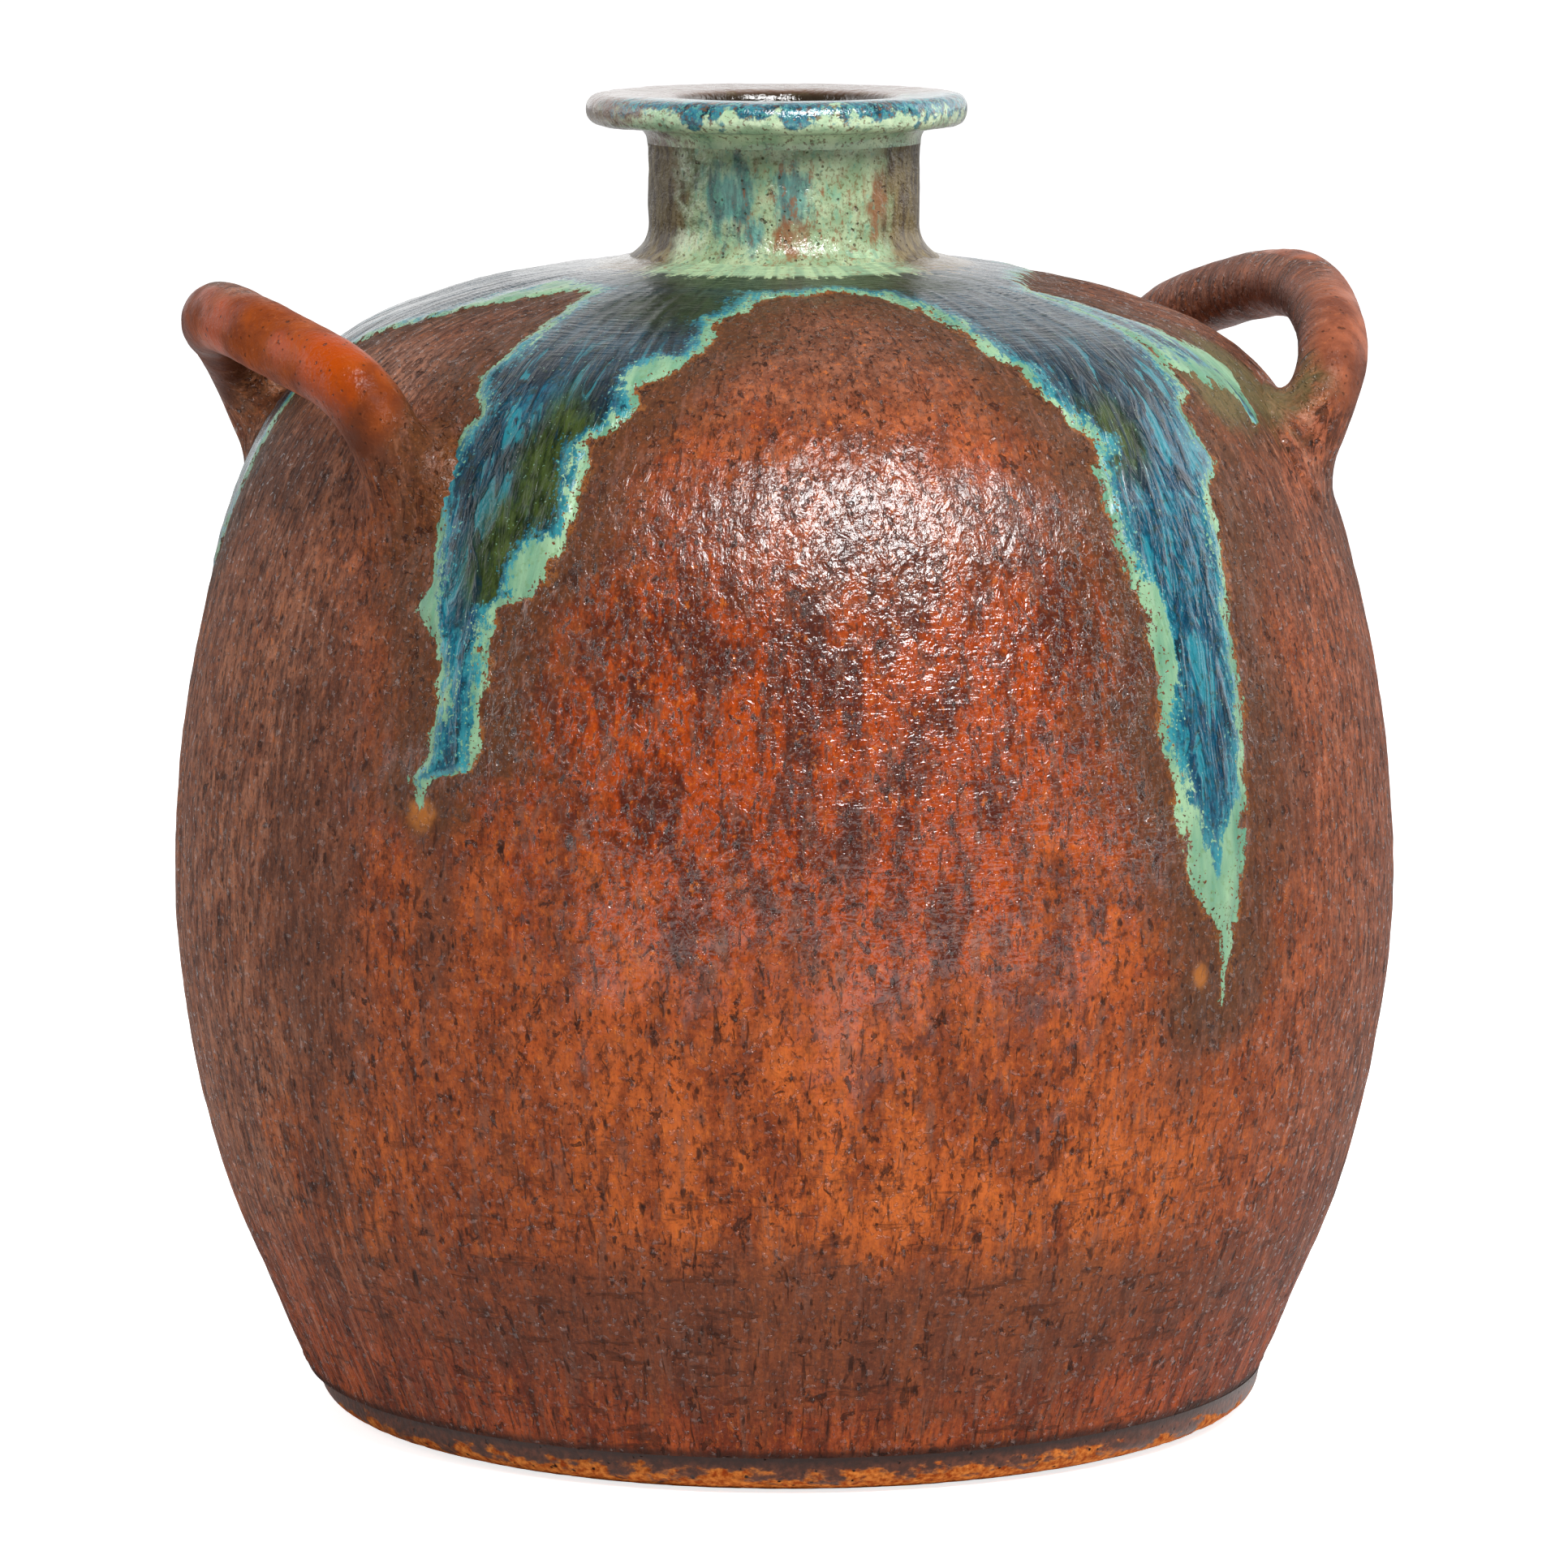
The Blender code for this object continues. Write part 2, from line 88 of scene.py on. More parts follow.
def thrown(name, section, columns, start=0.0, sweep=360.0, closed=True):
    """A section of (radius, height) points, spun round the upright axis like clay on a wheel."""
    side = radians(start)
    points = [(radius * sin(side), -radius * cos(side), height) for radius, height in section]
    piece = drawn(name, points, closed)
    wheel = piece.modifiers.new("Wheel", "SCREW")
    wheel.angle = radians(sweep)
    wheel.steps = wheel.render_steps = columns
    wheel.use_merge_vertices = sweep == 360.0
    wheel.merge_threshold = WELD
    bpy.ops.object.modifier_apply(modifier=wheel.name)
    cleaned(50)
    return piece


def flowing(points, gap):
    """A smooth line through the points, with one point about every gap millimetres."""
    points = np.array(points, float)
    steps = np.linalg.norm(np.diff(points, axis=0), axis=1)
    along = np.concatenate(((0.0,), np.cumsum(steps)))
    slopes = np.gradient(points, along, axis=0)
    dense = np.linspace(0, along[-1], round(along[-1] / gap) + 1)
    left = np.clip(np.searchsorted(along, dense, side="right") - 1, 0, len(steps) - 1)
    length = steps[left][:, None]
    share = ((dense - along[left]) / steps[left])[:, None]
    line = points[left] * (1 + 2 * share) * (1 - share) ** 2
    line += slopes[left] * length * share * (1 - share) ** 2
    line += points[left + 1] * share**2 * (3 - 2 * share)
    line += slopes[left + 1] * length * share**2 * (share - 1)
    return line


def shade(paint):
    """The colour #rrggbb as a surface shows it."""
    parts = [int(paint[place:place + 2], 16) / 255 for place in (1, 3, 5)]
    linear = [
        part / 12.92 if part <= 0.04045 else ((part + 0.055) / 1.055) ** 2.4 for part in parts
    ]
    return linear + [1.0]


class Value:
    """What a socket gives. Each plus, minus, times or divided by adds a node to its tree."""

    def __init__(self, socket):
        self.socket = socket

    def __add__(self, other):
        return step("Math", self, other, operation="ADD")

    def __sub__(self, other):
        return step("Math", self, other, operation="SUBTRACT")

    def __rsub__(self, other):
        return step("Math", other, self, operation="SUBTRACT")

    def __mul__(self, other):
        return step("Math", self, other, operation="MULTIPLY")

    def __truediv__(self, other):
        return step("Math", self, other, operation="DIVIDE")

    def __rtruediv__(self, other):
        return step("Math", other, self, operation="DIVIDE")


def feed(sockets, given):
    """Gives each socket in turn a link from a Value, or else the plain number or colour."""
    for socket, value in zip(sockets, given):
        if isinstance(value, Value):
            socket.id_data.links.new(value.socket, socket)
        else:
            socket.default_value = value


def step(kind, *given, **settings):
    """One node with these settings, in the tree of the values given for its open sockets."""
    tree = next(value for value in given if isinstance(value, Value)).socket.id_data
    new = tree.nodes.new("ShaderNode" + kind)
    for setting, value in settings.items():
        setattr(new, setting, value)
    feed([socket for socket in new.inputs if socket.enabled], given)
    return Value([socket for socket in new.outputs if socket.enabled][0])


def spread(value, low, high, start=0.0, end=1.0):
    """Eases from start to end while the value goes from low to high."""
    return step("MapRange", value, low, high, start, end, interpolation_type="SMOOTHSTEP")


def tint(share, under, over):
    """A colour between two others, by this share. Each may be written as #rrggbb."""
    under, over = (shade(paint) if isinstance(paint, str) else paint for paint in (under, over))
    return step("Mix", share, under, over, data_type="RGBA")


def coated(colour, *coats):
    """Lays one colour after another over the first, each with its share."""
    for share, paint in coats:
        colour = tint(share, colour, paint)
    return colour


def grain(where, size, detail=2.0, roughness=0.5, twist=0.0):
    """Cloudy grain of this size, where the place is in millimetres."""
    return step("TexNoise", where, 1 / size, detail, roughness, 2.0, twist)


def stretched(where, across, along):
    """A place scaled across and along the upright axis, so grain there gets long or wide."""
    return step("VectorMath", where, (across, across, along), operation="MULTIPLY")


def separate(where):
    """The X, Y and Z of a place."""
    new = where.socket.id_data.nodes.new("ShaderNodeSeparateXYZ")
    feed(new.inputs, [where])
    return [Value(socket) for socket in new.outputs]


# The sockets of the node groups that don't carry a plain number.
CARRIED = {"Place": "Vector", "Point": "Vector", "Skin": "Vector", "Colour": "Color"}


def recipe(name, takes, gives):
    """An empty node group with these sockets: its tree, the values it takes and what it fills."""
    tree = bpy.data.node_groups.new(name, "ShaderNodeTree")
    for way, labels in (("INPUT", takes), ("OUTPUT", gives)):
        for label in labels:
            kind = "NodeSocket" + CARRIED.get(label, "Float")
            tree.interface.new_socket(label, in_out=way, socket_type=kind)
    taken = tree.nodes.new("NodeGroupInput").outputs
    made = tree.nodes.new("NodeGroupOutput").inputs
    return tree, {socket.name: Value(socket) for socket in taken}, made


def give(sockets, **values):
    """Feeds sockets by name, where an underscore stands for a space."""
    feed([sockets[label.replace("_", " ")] for label in values], values.values())


def add(tree, group, *given):
    """Puts a node group in a tree and gives its outputs by name."""
    new = tree.nodes.new("ShaderNodeGroup")
    new.node_tree = group
    feed(new.inputs, given)
    return {socket.name: Value(socket) for socket in new.outputs}


def fired(name, surface, sheen=0.07):
    """A fired surface, from a maker of its colour, roughness, height in millimetres and gloss."""
    material = bpy.data.materials.new(name)
    material.use_nodes = True
    colour, roughness, height, gloss = surface(material.node_tree)
    bump = material.node_tree.nodes.new("ShaderNodeBump")
    give(bump.inputs, Distance=MM, Height=height)
    normal = Value(bump.outputs["Normal"])
    give(
        material.node_tree.nodes["Principled BSDF"].inputs,
        Base_Color=colour, Roughness=roughness, Specular_IOR_Level=sheen, Normal=normal,
        Coat_Weight=gloss, Coat_Roughness=COAT_ROUGHNESS, Coat_IOR=COAT_IOR, Coat_Normal=normal,
    )
    return material


def dressed(piece, material, slot, *nodes):
    """Finishes a piece: its material, what it stands for and what carries it. Its slot is not used.
    """
    piece.data.materials.clear()
    piece.data.materials.append(material)
    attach(piece, "root")
    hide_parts(*nodes)


# Where a point is: in millimetres, its angle round the vase from the front in degrees, its height
# less its radius, which grows all the way up the outside, its place on an upright cylinder, and
# how far out, up and back it lies.
AROUND, _, made = recipe(
    "Around the vase", (), ("Point", "Angle", "Run", "Skin", "Radius", "Up", "Back")
)
coordinates = Value(AROUND.nodes.new("ShaderNodeTexCoord").outputs["Object"])
point = stretched(coordinates, 1 / MM, 1 / MM)
right, back, up = separate(point)
level = stretched(point, 1, 0)
radius = step("VectorMath", level, operation="LENGTH")
turn = step("Math", right, back * -1.0, operation="ARCTAN2")
run = up - radius
ring = stretched(step("VectorMath", level, operation="NORMALIZE"), SKIN_R, 0)
skin = step("VectorMath", ring, step("CombineXYZ", 0.0, 0.0, run), operation="ADD")
give(
    made, Point=point, Angle=step("Math", turn, operation="DEGREES"), Run=run, Skin=skin,
    Radius=radius, Up=up, Back=back,
)

# Grog and pits: coarse grains stand out of the clay, and burnt-out ones leave holes.
GROG, taken, made = recipe("Grog and pits", ("Place", "Size", "Depth"), ("Height", "Pit"))
fine = step("VectorMath", taken["Place"], 1.0 / taken["Size"], operation="MULTIPLY")
cell = step("TexVoronoi", fine, 0.55, feature="SMOOTH_F1")
pit = spread(cell + grain(fine, 1 / 1.3, 2.0, 0.5) * 0.35, 0.34, 0.22)
clay = grain(fine, 1.0, 3.0, 0.6)
give(made, Height=(clay * 0.55 - pit) * taken["Depth"], Pit=pit)


def worn_foot(tree):
    around = add(tree, AROUND)
    patchy = grain(stretched(around["Point"], 1, 2.2), 9.0, 4.0, 0.6)
    bare = spread(around["Up"] + (patchy - 0.5) * -18.0, 6.0, 3.8)
    fleck = grain(around["Point"], 1.6, 3.0, 0.6)
    glaze = tint(spread(fleck, 0.35, 0.7), "#3a1c0e", "#5e301c")
    clay = tint(spread(fleck, 0.3, 0.7), "#8c370d", "#d2803a")
    grog = add(tree, GROG, around["Point"], 1.5, 0.35)
    # Painted shade: the top of the ring, under the body's overhang, darkens to near black for the
    # shadow there.
    under = spread(around["Up"], 7.2, 9.4, 0.0, 0.85)
    colour = coated(glaze, (bare, clay), (under, "#27130b"), (grog["Pit"], "#2a140c"))
    roughness = spread(bare, 0.0, 1.0, 0.42, 0.85)
    return colour, roughness, grog["Height"], spread(bare, 0.0, 1.0, 0.35, 0.0)


foot = thrown("foot_ring_clay", flowing(FOOT_SECTION, 0.9), columns=480)
for corner in foot.data.vertices:
    place = corner.co / MM
    edge = max(0.0, 1 - abs(place.z - FOOT_EDGE) / EDGE_REACH) * (place.xy.length > FOOT_MID_R)
    chip = max(0.0, noise.noise(place / 5.0) + 0.35 * noise.noise(place / 1.7) - 0.1)
    inward = edge * (0.25 + 0.25 * noise.noise(place / 2.4) + 1.6 * chip)
    place.xy *= 1 - inward / place.xy.length
    place.x += FOOT_OFF_CENTRE
    place.z = max(place.z, 0.0)
    corner.co = place * MM
dressed(foot, fired("worn foot", worn_foot), "bare_clay", "foot_ring")

# ---- Floor of the body ----
# The disc of clay inside the foot, which shows only from below. The CAD's own disc stands for
# it, as it was cut, in bare dusty brown clay with grog in it.


def bare_floor(tree):
    around = add(tree, AROUND)
    cloud = grain(around["Point"], 14.0, 4.0, 0.6)
    fleck = grain(around["Point"], 1.3, 3.0, 0.6)
    grog = add(tree, GROG, around["Point"], 1.8, 0.3)
    clay = coated(
        tint(spread(cloud, 0.3, 0.7), "#7d4a2e", "#a9683f"),
        (spread(fleck, 0.45, 0.75, 0.0, 0.6), "#c98b5b"),
        (grog["Pit"], "#3a2014"),
    )
    dust = spread(cloud, 0.3, 0.7, 0.75, 0.9)
    return clay, dust, grog["Height"], spread(cloud, 0.8, 0.9, 0.0, 0.1)


floor_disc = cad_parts["floor_slab"]
floor_disc.data.materials.clear()
floor_disc.data.materials.append(fired("bare floor", bare_floor))

# ---- Wall of the body, below and above the belly ----
# One thrown wall in coarse red stoneware, combed upright while soft. A rust glaze lies over it,
# glossy and orange red in front, dry and brown at the sides and the foot.
WALL = 9.0
COLUMNS = 576
BASE, BELLY, BELLY_R = 13.2, 134.0, 154.2
SEAT, SEAT_R = 286.6, 49.0
FLOOR_TOP, FLOOR_R = 18.8, 114.2
ROW_GAP = 1.42
SHOULDER_DENT = 1.2
OUTSIDE = (
    (123.3, 13.2), (125.4, 18), (130.3, 30), (140.7, 55), (147.7, 80), (152.2, 105), (153.9, 120),
    (154.2, 134), (153.3, 155), (150.3, 180), (145.5, 205), (138.2, 230), (129.6, 248),
    (119.2, 262), (106.3, 272), (89.5, 279), (70.3, 284), (58.5, 285.8), (49.0, 286.6),
)
BASE_ROLL = ((123.3, 13.2), (123.0, 12.0), (122.3, 10.9), (121.2, 10.1), (119.8, 9.8), (114.2, 9.8))
OUTLINE = flowing(OUTSIDE, 1.0)


def radius_at(height):
    """How far out the wall reaches at this height."""
    return float(np.interp(height, OUTLINE[:, 1], OUTLINE[:, 0]))


def run_at(height):
    """Height less radius, for a height on the outside of the wall."""
    return height - radius_at(height)


def ease(value, low, high):
    """Goes smoothly from 0 to 1 while the value goes from low to high."""
    share = min(max((value - low) / (high - low), 0.0), 1.0)
    return share * share * (3 - 2 * share)


def carved(place):
    """How far the worked surface lies inside the thrown one here, in millimetres."""
    angle = degrees(atan2(place.x, -place.y))
    radius = place.xy.length
    lie = place.z - radius
    skin = Vector((SKIN_R * place.x / radius, SKIN_R * place.y / radius, lie))
    side = max(ease(-angle, 50, 85), ease(angle, 35, 65))
    comb = 0.20 + 0.22 * side
    depth = 0.42 + 0.35 * noise.noise(skin / 62) + 0.14 * noise.noise(skin / 19)
    depth += comb * (0.6 + noise.noise(Vector((skin.x / 3.4, skin.y / 3.4, skin.z / 42))))
    depth += 0.10 * (0.6 + noise.noise(Vector((skin.x / 60, skin.y / 60, skin.z / 6))))
    depth += 0.10 * (0.6 + noise.noise(place / 4.2))
    dent = max(0.0, 1 - abs(angle - 72) / 38) * ease(place.z, 236, 262) * ease(-radius, -118, -62)
    return max(depth, 0.0) + SHOULDER_DENT * dent


def places(piece, kind="co"):
    """The places of a piece's corners, in millimetres, or their normals."""
    found = np.empty(len(piece.data.vertices) * 3)
    piece.data.vertices.foreach_get(kind, found)
    return found.reshape(-1, 3) / (MM if kind == "co" else 1)


def put(piece, found):
    """Moves a piece's corners to these places."""
    piece.data.vertices.foreach_set("co", (found * MM).ravel())
    piece.data.update()


def worked(piece, from_height, to_height):
    """Sinks the outside of a thrown piece by the worked surface."""
    found = places(piece)
    radii = np.hypot(found[:, 0], found[:, 1])
    lean = np.gradient(OUTLINE[:, 0], OUTLINE[:, 1])
    lean = np.interp(found[:, 2], OUTLINE[:, 1], lean)
    outward = np.stack([found[:, 0] / radii, found[:, 1] / radii, -lean], 1)
    outward /= np.hypot(1, lean)[:, None]
    skin = np.abs(radii - np.interp(found[:, 2], OUTLINE[:, 1], OUTLINE[:, 0])) < 1.0
    skin &= (found[:, 2] >= from_height) & (found[:, 2] <= to_height)
    for index in np.flatnonzero(skin):
        found[index] -= outward[index] * carved(Vector(found[index]))
    put(piece, found)


def wall_section(low, high, outline):
    """The part of the wall between two heights: up its outside, then down its inside."""
    line = [point for point in outline if low < point[1] < high]
    gaps = np.gradient(np.array(line), axis=0)
    outward = np.stack([gaps[:, 1], -gaps[:, 0]], 1)
    outward /= np.linalg.norm(outward, axis=1)[:, None]
    inside = (np.array(line) - WALL * outward)[::12][::-1]
    return line, [point for point in inside if low < point[1] < high - 0.4 * WALL]


line, inside = wall_section(BASE, BELLY, OUTLINE)
points = [(BELLY_R, BELLY), (BELLY_R, BELLY - 0.3)] + line[::-1][1:] + list(BASE_ROLL)
points += [(FLOOR_R, FLOOR_TOP)] + [point for point in inside[::-1] if point[1] > 24]
lower_wall = thrown("lower_wall_body", points + [(BELLY_R - WALL, BELLY)], COLUMNS)
worked(lower_wall, 9.0, BELLY + 0.01)

line, inside = wall_section(BELLY, SEAT, flowing(OUTSIDE, ROW_GAP))
points = [(BELLY_R, BELLY), (BELLY_R, BELLY + 0.3)] + line[1:]
points += [(SEAT_R, SEAT), (SEAT_R, SEAT - WALL)] + [point for point in inside if point[0] > 52]
upper_wall = thrown("upper_wall_body", points + [(BELLY_R - WALL, BELLY)], COLUMNS)
worked(upper_wall, BELLY - 0.01, SEAT - 0.1)

# A patch of colour on the wall, soft at its edge: where it lies, how wide it is in degrees and
# how tall in millimetres.
PATCH, taken, made = recipe(
    "Patch", ("Angle", "Run", "Warp", "At angle", "At run", "Width", "Height"), ("Mask",)
)
across = (taken["Angle"] - taken["At angle"]) / taken["Width"]
along = (taken["Run"] - taken["At run"]) / taken["Height"]
away = step("Math", across * across + along * along, operation="SQRT") + taken["Warp"]
give(made, Mask=spread(away, 1.4, 0.5))

# Where the poured glaze ran: the left and right edge of each run, as (degrees, height), from the
# shoulder down to its tip, and the lower edge of the pool round the neck.
RUNS = {
    "drip_front_left": (
        ((-62, 284.5), (-58.5, 281.5), (-57, 278), (-56.5, 272), (-58, 267.5), (-56, 263),
         (-54.5, 259), (-56.5, 250), (-56, 241), (-54.5, 232), (-54, 222), (-55.5, 214),
         (-52.7, 208), (-51, 200), (-51.3, 190), (-52, 180), (-53.5, 175), (-52.4, 169),
         (-50, 165)),
        ((-22, 284.5), (-24.5, 281.7), (-28.5, 280.5), (-27.5, 277.5), (-28.5, 274), (-32, 270),
         (-35.5, 266), (-34.5, 262), (-35.5, 259), (-39, 254), (-39, 246), (-39.5, 232), (-41, 223),
         (-42.7, 218.5), (-46, 216), (-46.5, 210), (-46.5, 190), (-46.3, 184), (-47.3, 178),
         (-51, 175.5), (-51.8, 170), (-54, 165)),
    ),
    "drip_front_right": (
        ((2, 284.5), (6.5, 282), (9, 279), (9.5, 275), (10.5, 272), (13, 270), (13.5, 266),
         (14.5, 262), (16, 257), (18.5, 253), (17, 246), (16.8, 240), (17, 230), (18.5, 220),
         (19, 210), (20, 200), (19, 185), (19.8, 178), (20.3, 165), (21, 155), (22.5, 146),
         (23.5, 142), (24.3, 138), (25, 130), (24.9, 120), (26.5, 114)),
        ((40, 284.5), (38.5, 272), (37.5, 266), (37.5, 262), (33.8, 258), (34, 252), (35, 246),
         (32.5, 241), (31.3, 232), (30.8, 222), (30, 210), (30, 190), (29.5, 180), (29, 170),
         (28.3, 160), (27.7, 150), (27, 142), (26.3, 138), (26.8, 133), (26, 127), (25.8, 120),
         (24, 114)),
    ),
    "drip_right_shoulder": (
        ((36, 284.5), (37, 272), (37.5, 268), (41, 265), (43, 261.5), (44.5, 259), (45, 255),
         (48, 250)),
        ((42, 284.5), (45, 279), (47.5, 275), (50.5, 270), (52, 268), (53, 264), (50.5, 259),
         (50, 254), (46, 250)),
    ),
    "drip_under_left_handle": (
        ((-126, 283.7), (-123, 279.5), (-117, 271.5), (-111, 258.5), (-108, 237), (-106, 216),
         (-102, 208)),
        ((-70, 283.7), (-80, 279.5), (-92, 271.5), (-97, 258.5), (-98, 237), (-101, 216),
         (-105, 208)),
    ),
    "drip_back_left": (
        ((-176, 283.7), (-170, 277), (-164, 265), (-158, 241), (-154, 204), (-151.5, 174),
         (-148, 164)),
        ((-134, 283.7), (-138, 277), (-142, 265), (-145, 241), (-147, 204), (-149, 174),
         (-152, 164)),
    ),
    "drip_back_right": (
        ((122, 283.7), (132, 277), (137, 265), (139, 241), (143, 214), (147, 194), (152, 186)),
        ((176, 283.7), (172, 277), (163, 265), (157, 241), (153, 214), (150, 194), (146, 186)),
    ),
}
POOL = (
    (-180, 282.5), (-165, 284), (-150, 283.5), (-135, 284.3), (-120, 283), (-100, 283), (-80, 284),
    (-62, 284.4), (-50, 284), (-22, 284.3), (-15, 284.7), (-5, 285.2), (3, 284.2), (20, 284),
    (40, 283.6), (47, 284.6), (60, 285.4), (80, 285), (100, 285.2), (120, 284), (150, 283.2),
    (180, 282.5),
)
LOW_RUN, RUN_LENGTH = -115.0, 400.0
CROSS_DROP, CROSS_TURN = 30, 22

# Below the tip the two edges of a run cross, so that it ends there. EDGES and POOL_EDGE are the
# same edges, from low to high, with a run in place of each height.
for name, (left, right) in RUNS.items():
    low, turn = left[-1][1] - CROSS_DROP, (left[-1][0] + right[-1][0]) / 2
    RUNS[name] = left + ((turn + CROSS_TURN, low),), right + ((turn - CROSS_TURN, low),)
EDGES = {
    name: [[(run_at(height), turn) for turn, height in side[::-1]] for side in sides]
    for name, sides in RUNS.items()
}
POOL_EDGE = [(turn, run_at(height)) for turn, height in POOL]


def inside_glaze(found, name):
    """Millimetres from each place to the nearest edge of the glaze, less than nothing outside."""
    radii = np.hypot(found[:, 0], found[:, 1])
    lie = found[:, 2] - radii
    angle = np.degrees(np.arctan2(found[:, 0], -found[:, 1]))
    best = lie - np.interp(angle, *zip(*POOL_EDGE))
    for sides in EDGES.values() if name == "all" else (EDGES[name],):
        left, right = (np.interp(lie, *zip(*side)) for side in sides)
        best = np.maximum(best, np.minimum(angle - left, right - angle) * np.radians(radii))
    return best


def edge_curve(value, points, low, length, out_low, out_length):
    """A line through points as a curve node, which covers these ranges in and out."""
    curve = value.socket.id_data.nodes.new("ShaderNodeFloatCurve")
    line = curve.mapping.curves[0]
    places = sorted(
        ((before - low) / length, (after - out_low) / out_length) for before, after in points
    )
    places = [(0.0, places[0][1])] + places + [(1.0, places[-1][1])]
    line.points[0].location, line.points[1].location = places[0], places[-1]
    for place in places[1:-1]:
        line.points.new(*place)
    for spot in line.points:
        spot.handle_type = "VECTOR"
    curve.mapping.update()
    give(curve.inputs, Value=(value - low) / length)
    return Value(curve.outputs[0]) * out_length + out_low


def larger(one, other):
    return step("Math", one, other, operation="MAXIMUM")


def blend(share, under, over):
    """A number between two others, by this share."""
    return step("Mix", share, under, over, data_type="FLOAT")


POURED_EDGE, _, made = recipe("Where the glaze ran", (), ("Inside",))
around = add(POURED_EDGE, AROUND)
angle, run = around["Angle"], around["Run"]
degree = around["Radius"] * radians(1)
inside = run - edge_curve(angle, POOL_EDGE, -180, 360, LOW_RUN, RUN_LENGTH)
for sides in EDGES.values():
    left, right = (edge_curve(run, side, LOW_RUN, RUN_LENGTH, -180, 360) for side in sides)
    gap = step("Math", angle - left, right - angle, operation="MINIMUM")
    inside = larger(inside, gap * degree)
ragged = grain(stretched(around["Skin"], 1, 0.45), 4.2, 4.0, 0.62)
crumbs = grain(around["Point"], 1.2, 3.0, 0.7)
inside = (ragged - 0.5) * 11.0 + inside
inside = (crumbs - 0.5) * 4.0 + inside
pinholes = spread(grain(around["Point"], 0.85, 1.0, 0.5), 0.6, 0.7, 0.0, -3.2)
feather = grain(stretched(around["Skin"], 1, 0.12), 3.4, 4.0, 0.6)
feather = (feather - 0.56) * spread(angle, 36.0, 44.0)
give(made, Inside=feather * 26.0 + (inside + pinholes))


def patches(around, warp, spots, along="Run"):
    """One mask over several patches, each (degrees, height, half width, half height)."""
    mask = None
    for angle, height, width, tall in spots:
        place = run_at(height) if along == "Run" else height
        given = around["Angle"], around[along], warp, angle, place, width, tall
        here = add(warp.socket.id_data, PATCH, *given)["Mask"]
        mask = here if mask is None else larger(mask, here)
    return mask


def in_front(turn):
    """How far a place lies in front, where the glaze on the neck is thick and mint."""
    return spread(turn, -72.0, -58.0) * spread(turn, 36.0, 22.0)


# Rust glaze over the combed clay, all round the body: dark in the grooves and pits, orange red
# where it is glossy in front, dull brown beside the runs and at the sides.
RUST, taken, made = recipe("Rust glaze", ("Inside",), ("Colour", "Roughness", "Height", "Gloss"))
around = add(RUST, AROUND)
point, skin, angle, run = (around[label] for label in ("Point", "Skin", "Angle", "Run"))
mottle = grain(point, 6.5, 5.0, 0.65)
speckle = grain(stretched(skin, 1, 0.7), 2.2, 5.0, 0.75, 0.3)
fine = grain(point, 1.1, 3.0, 0.6)
streak = grain(stretched(skin, 1, 0.28), 3.2, 6.0, 0.72)
comb = grain(stretched(skin, 1, 0.2), 2.3, 5.0, 0.7)
stroke = grain(stretched(skin, 1, 0.26), 2.1, 3.0, 0.6, 0.5)
column = grain(stretched(skin, 1, 0.42), 11.0, 6.0, 0.7)
cloud = grain(skin, 40.0, 4.0, 0.6)
warp = (streak - 0.5) * 0.8 + ((cloud - 0.5) * 1.3 + (mottle - 0.5) * 1.3)

# Where the wall looks different: glossy, orange or dusky, at either side, low down, on the shoulder
# and beside the poured glaze. The dusky patches under the handles are painted shade, the pale patch
# on the left shoulder is a painted reflection of light from the left, and the band under the base
# roll is painted shade.
glossy = patches(around, warp, [(-12, 195, 38, 84)])
orange = patches(around, warp, [
    (-8, 92, 30, 40), (-64, 78, 11, 18), (12, 70, 14, 22), (-30, 150, 8, 30), (8, 150, 10, 30),
])
# Dull brown patches in the glaze, and painted shade under the left handle's loop and below the
# right handle's foot.
dusky_and_handle_shade = patches(around, warp, [
    (-66, 150, 7, 75), (-50, 145, 3, 26), (21, 112, 3, 16), (-10, 46, 60, 13), (-85, 245, 10, 22),
    (41, 232, 8, 32), (36, 172, 4, 30), (66, 226, 14, 22),
])
rusty_top = patches(around, warp, [(-9, 236, 18, 30)])
# Painted reflection: a pale patch on the left shoulder where light from the left reflects.
shoulder_reflection = patches(around, warp, [(-78, 266, 16, 18)])
ripple = patches(around, warp, [(4, 178, 18, 44)])
film = patches(around, warp, [(55, 262, 6, 24), (44, 262, 5, 18)])
drops = patches(around, warp, [(-52, 167, 1.4, 4), (22.5, 127, 0.9, 3)])
left_side = spread(warp * 14.0 + angle, -53.0, -74.0)
right_side = spread(warp * 14.0 + angle, 26.0, 54.0)
sides = larger(left_side, right_side)
low = spread(warp * 24.0 + run, run_at(76), run_at(26))
shoulder = spread(warp * 16.0 + run, run_at(250), run_at(274))
halo = spread(warp * 13.0 + taken["Inside"], -27.0, -6.0)
# Painted shade: the underside of the base roll darkens to near black, for the shadow of the
# overhang above the foot.
under = spread(run + around["Radius"], 13.4, 10.6, 0.0, 0.8)

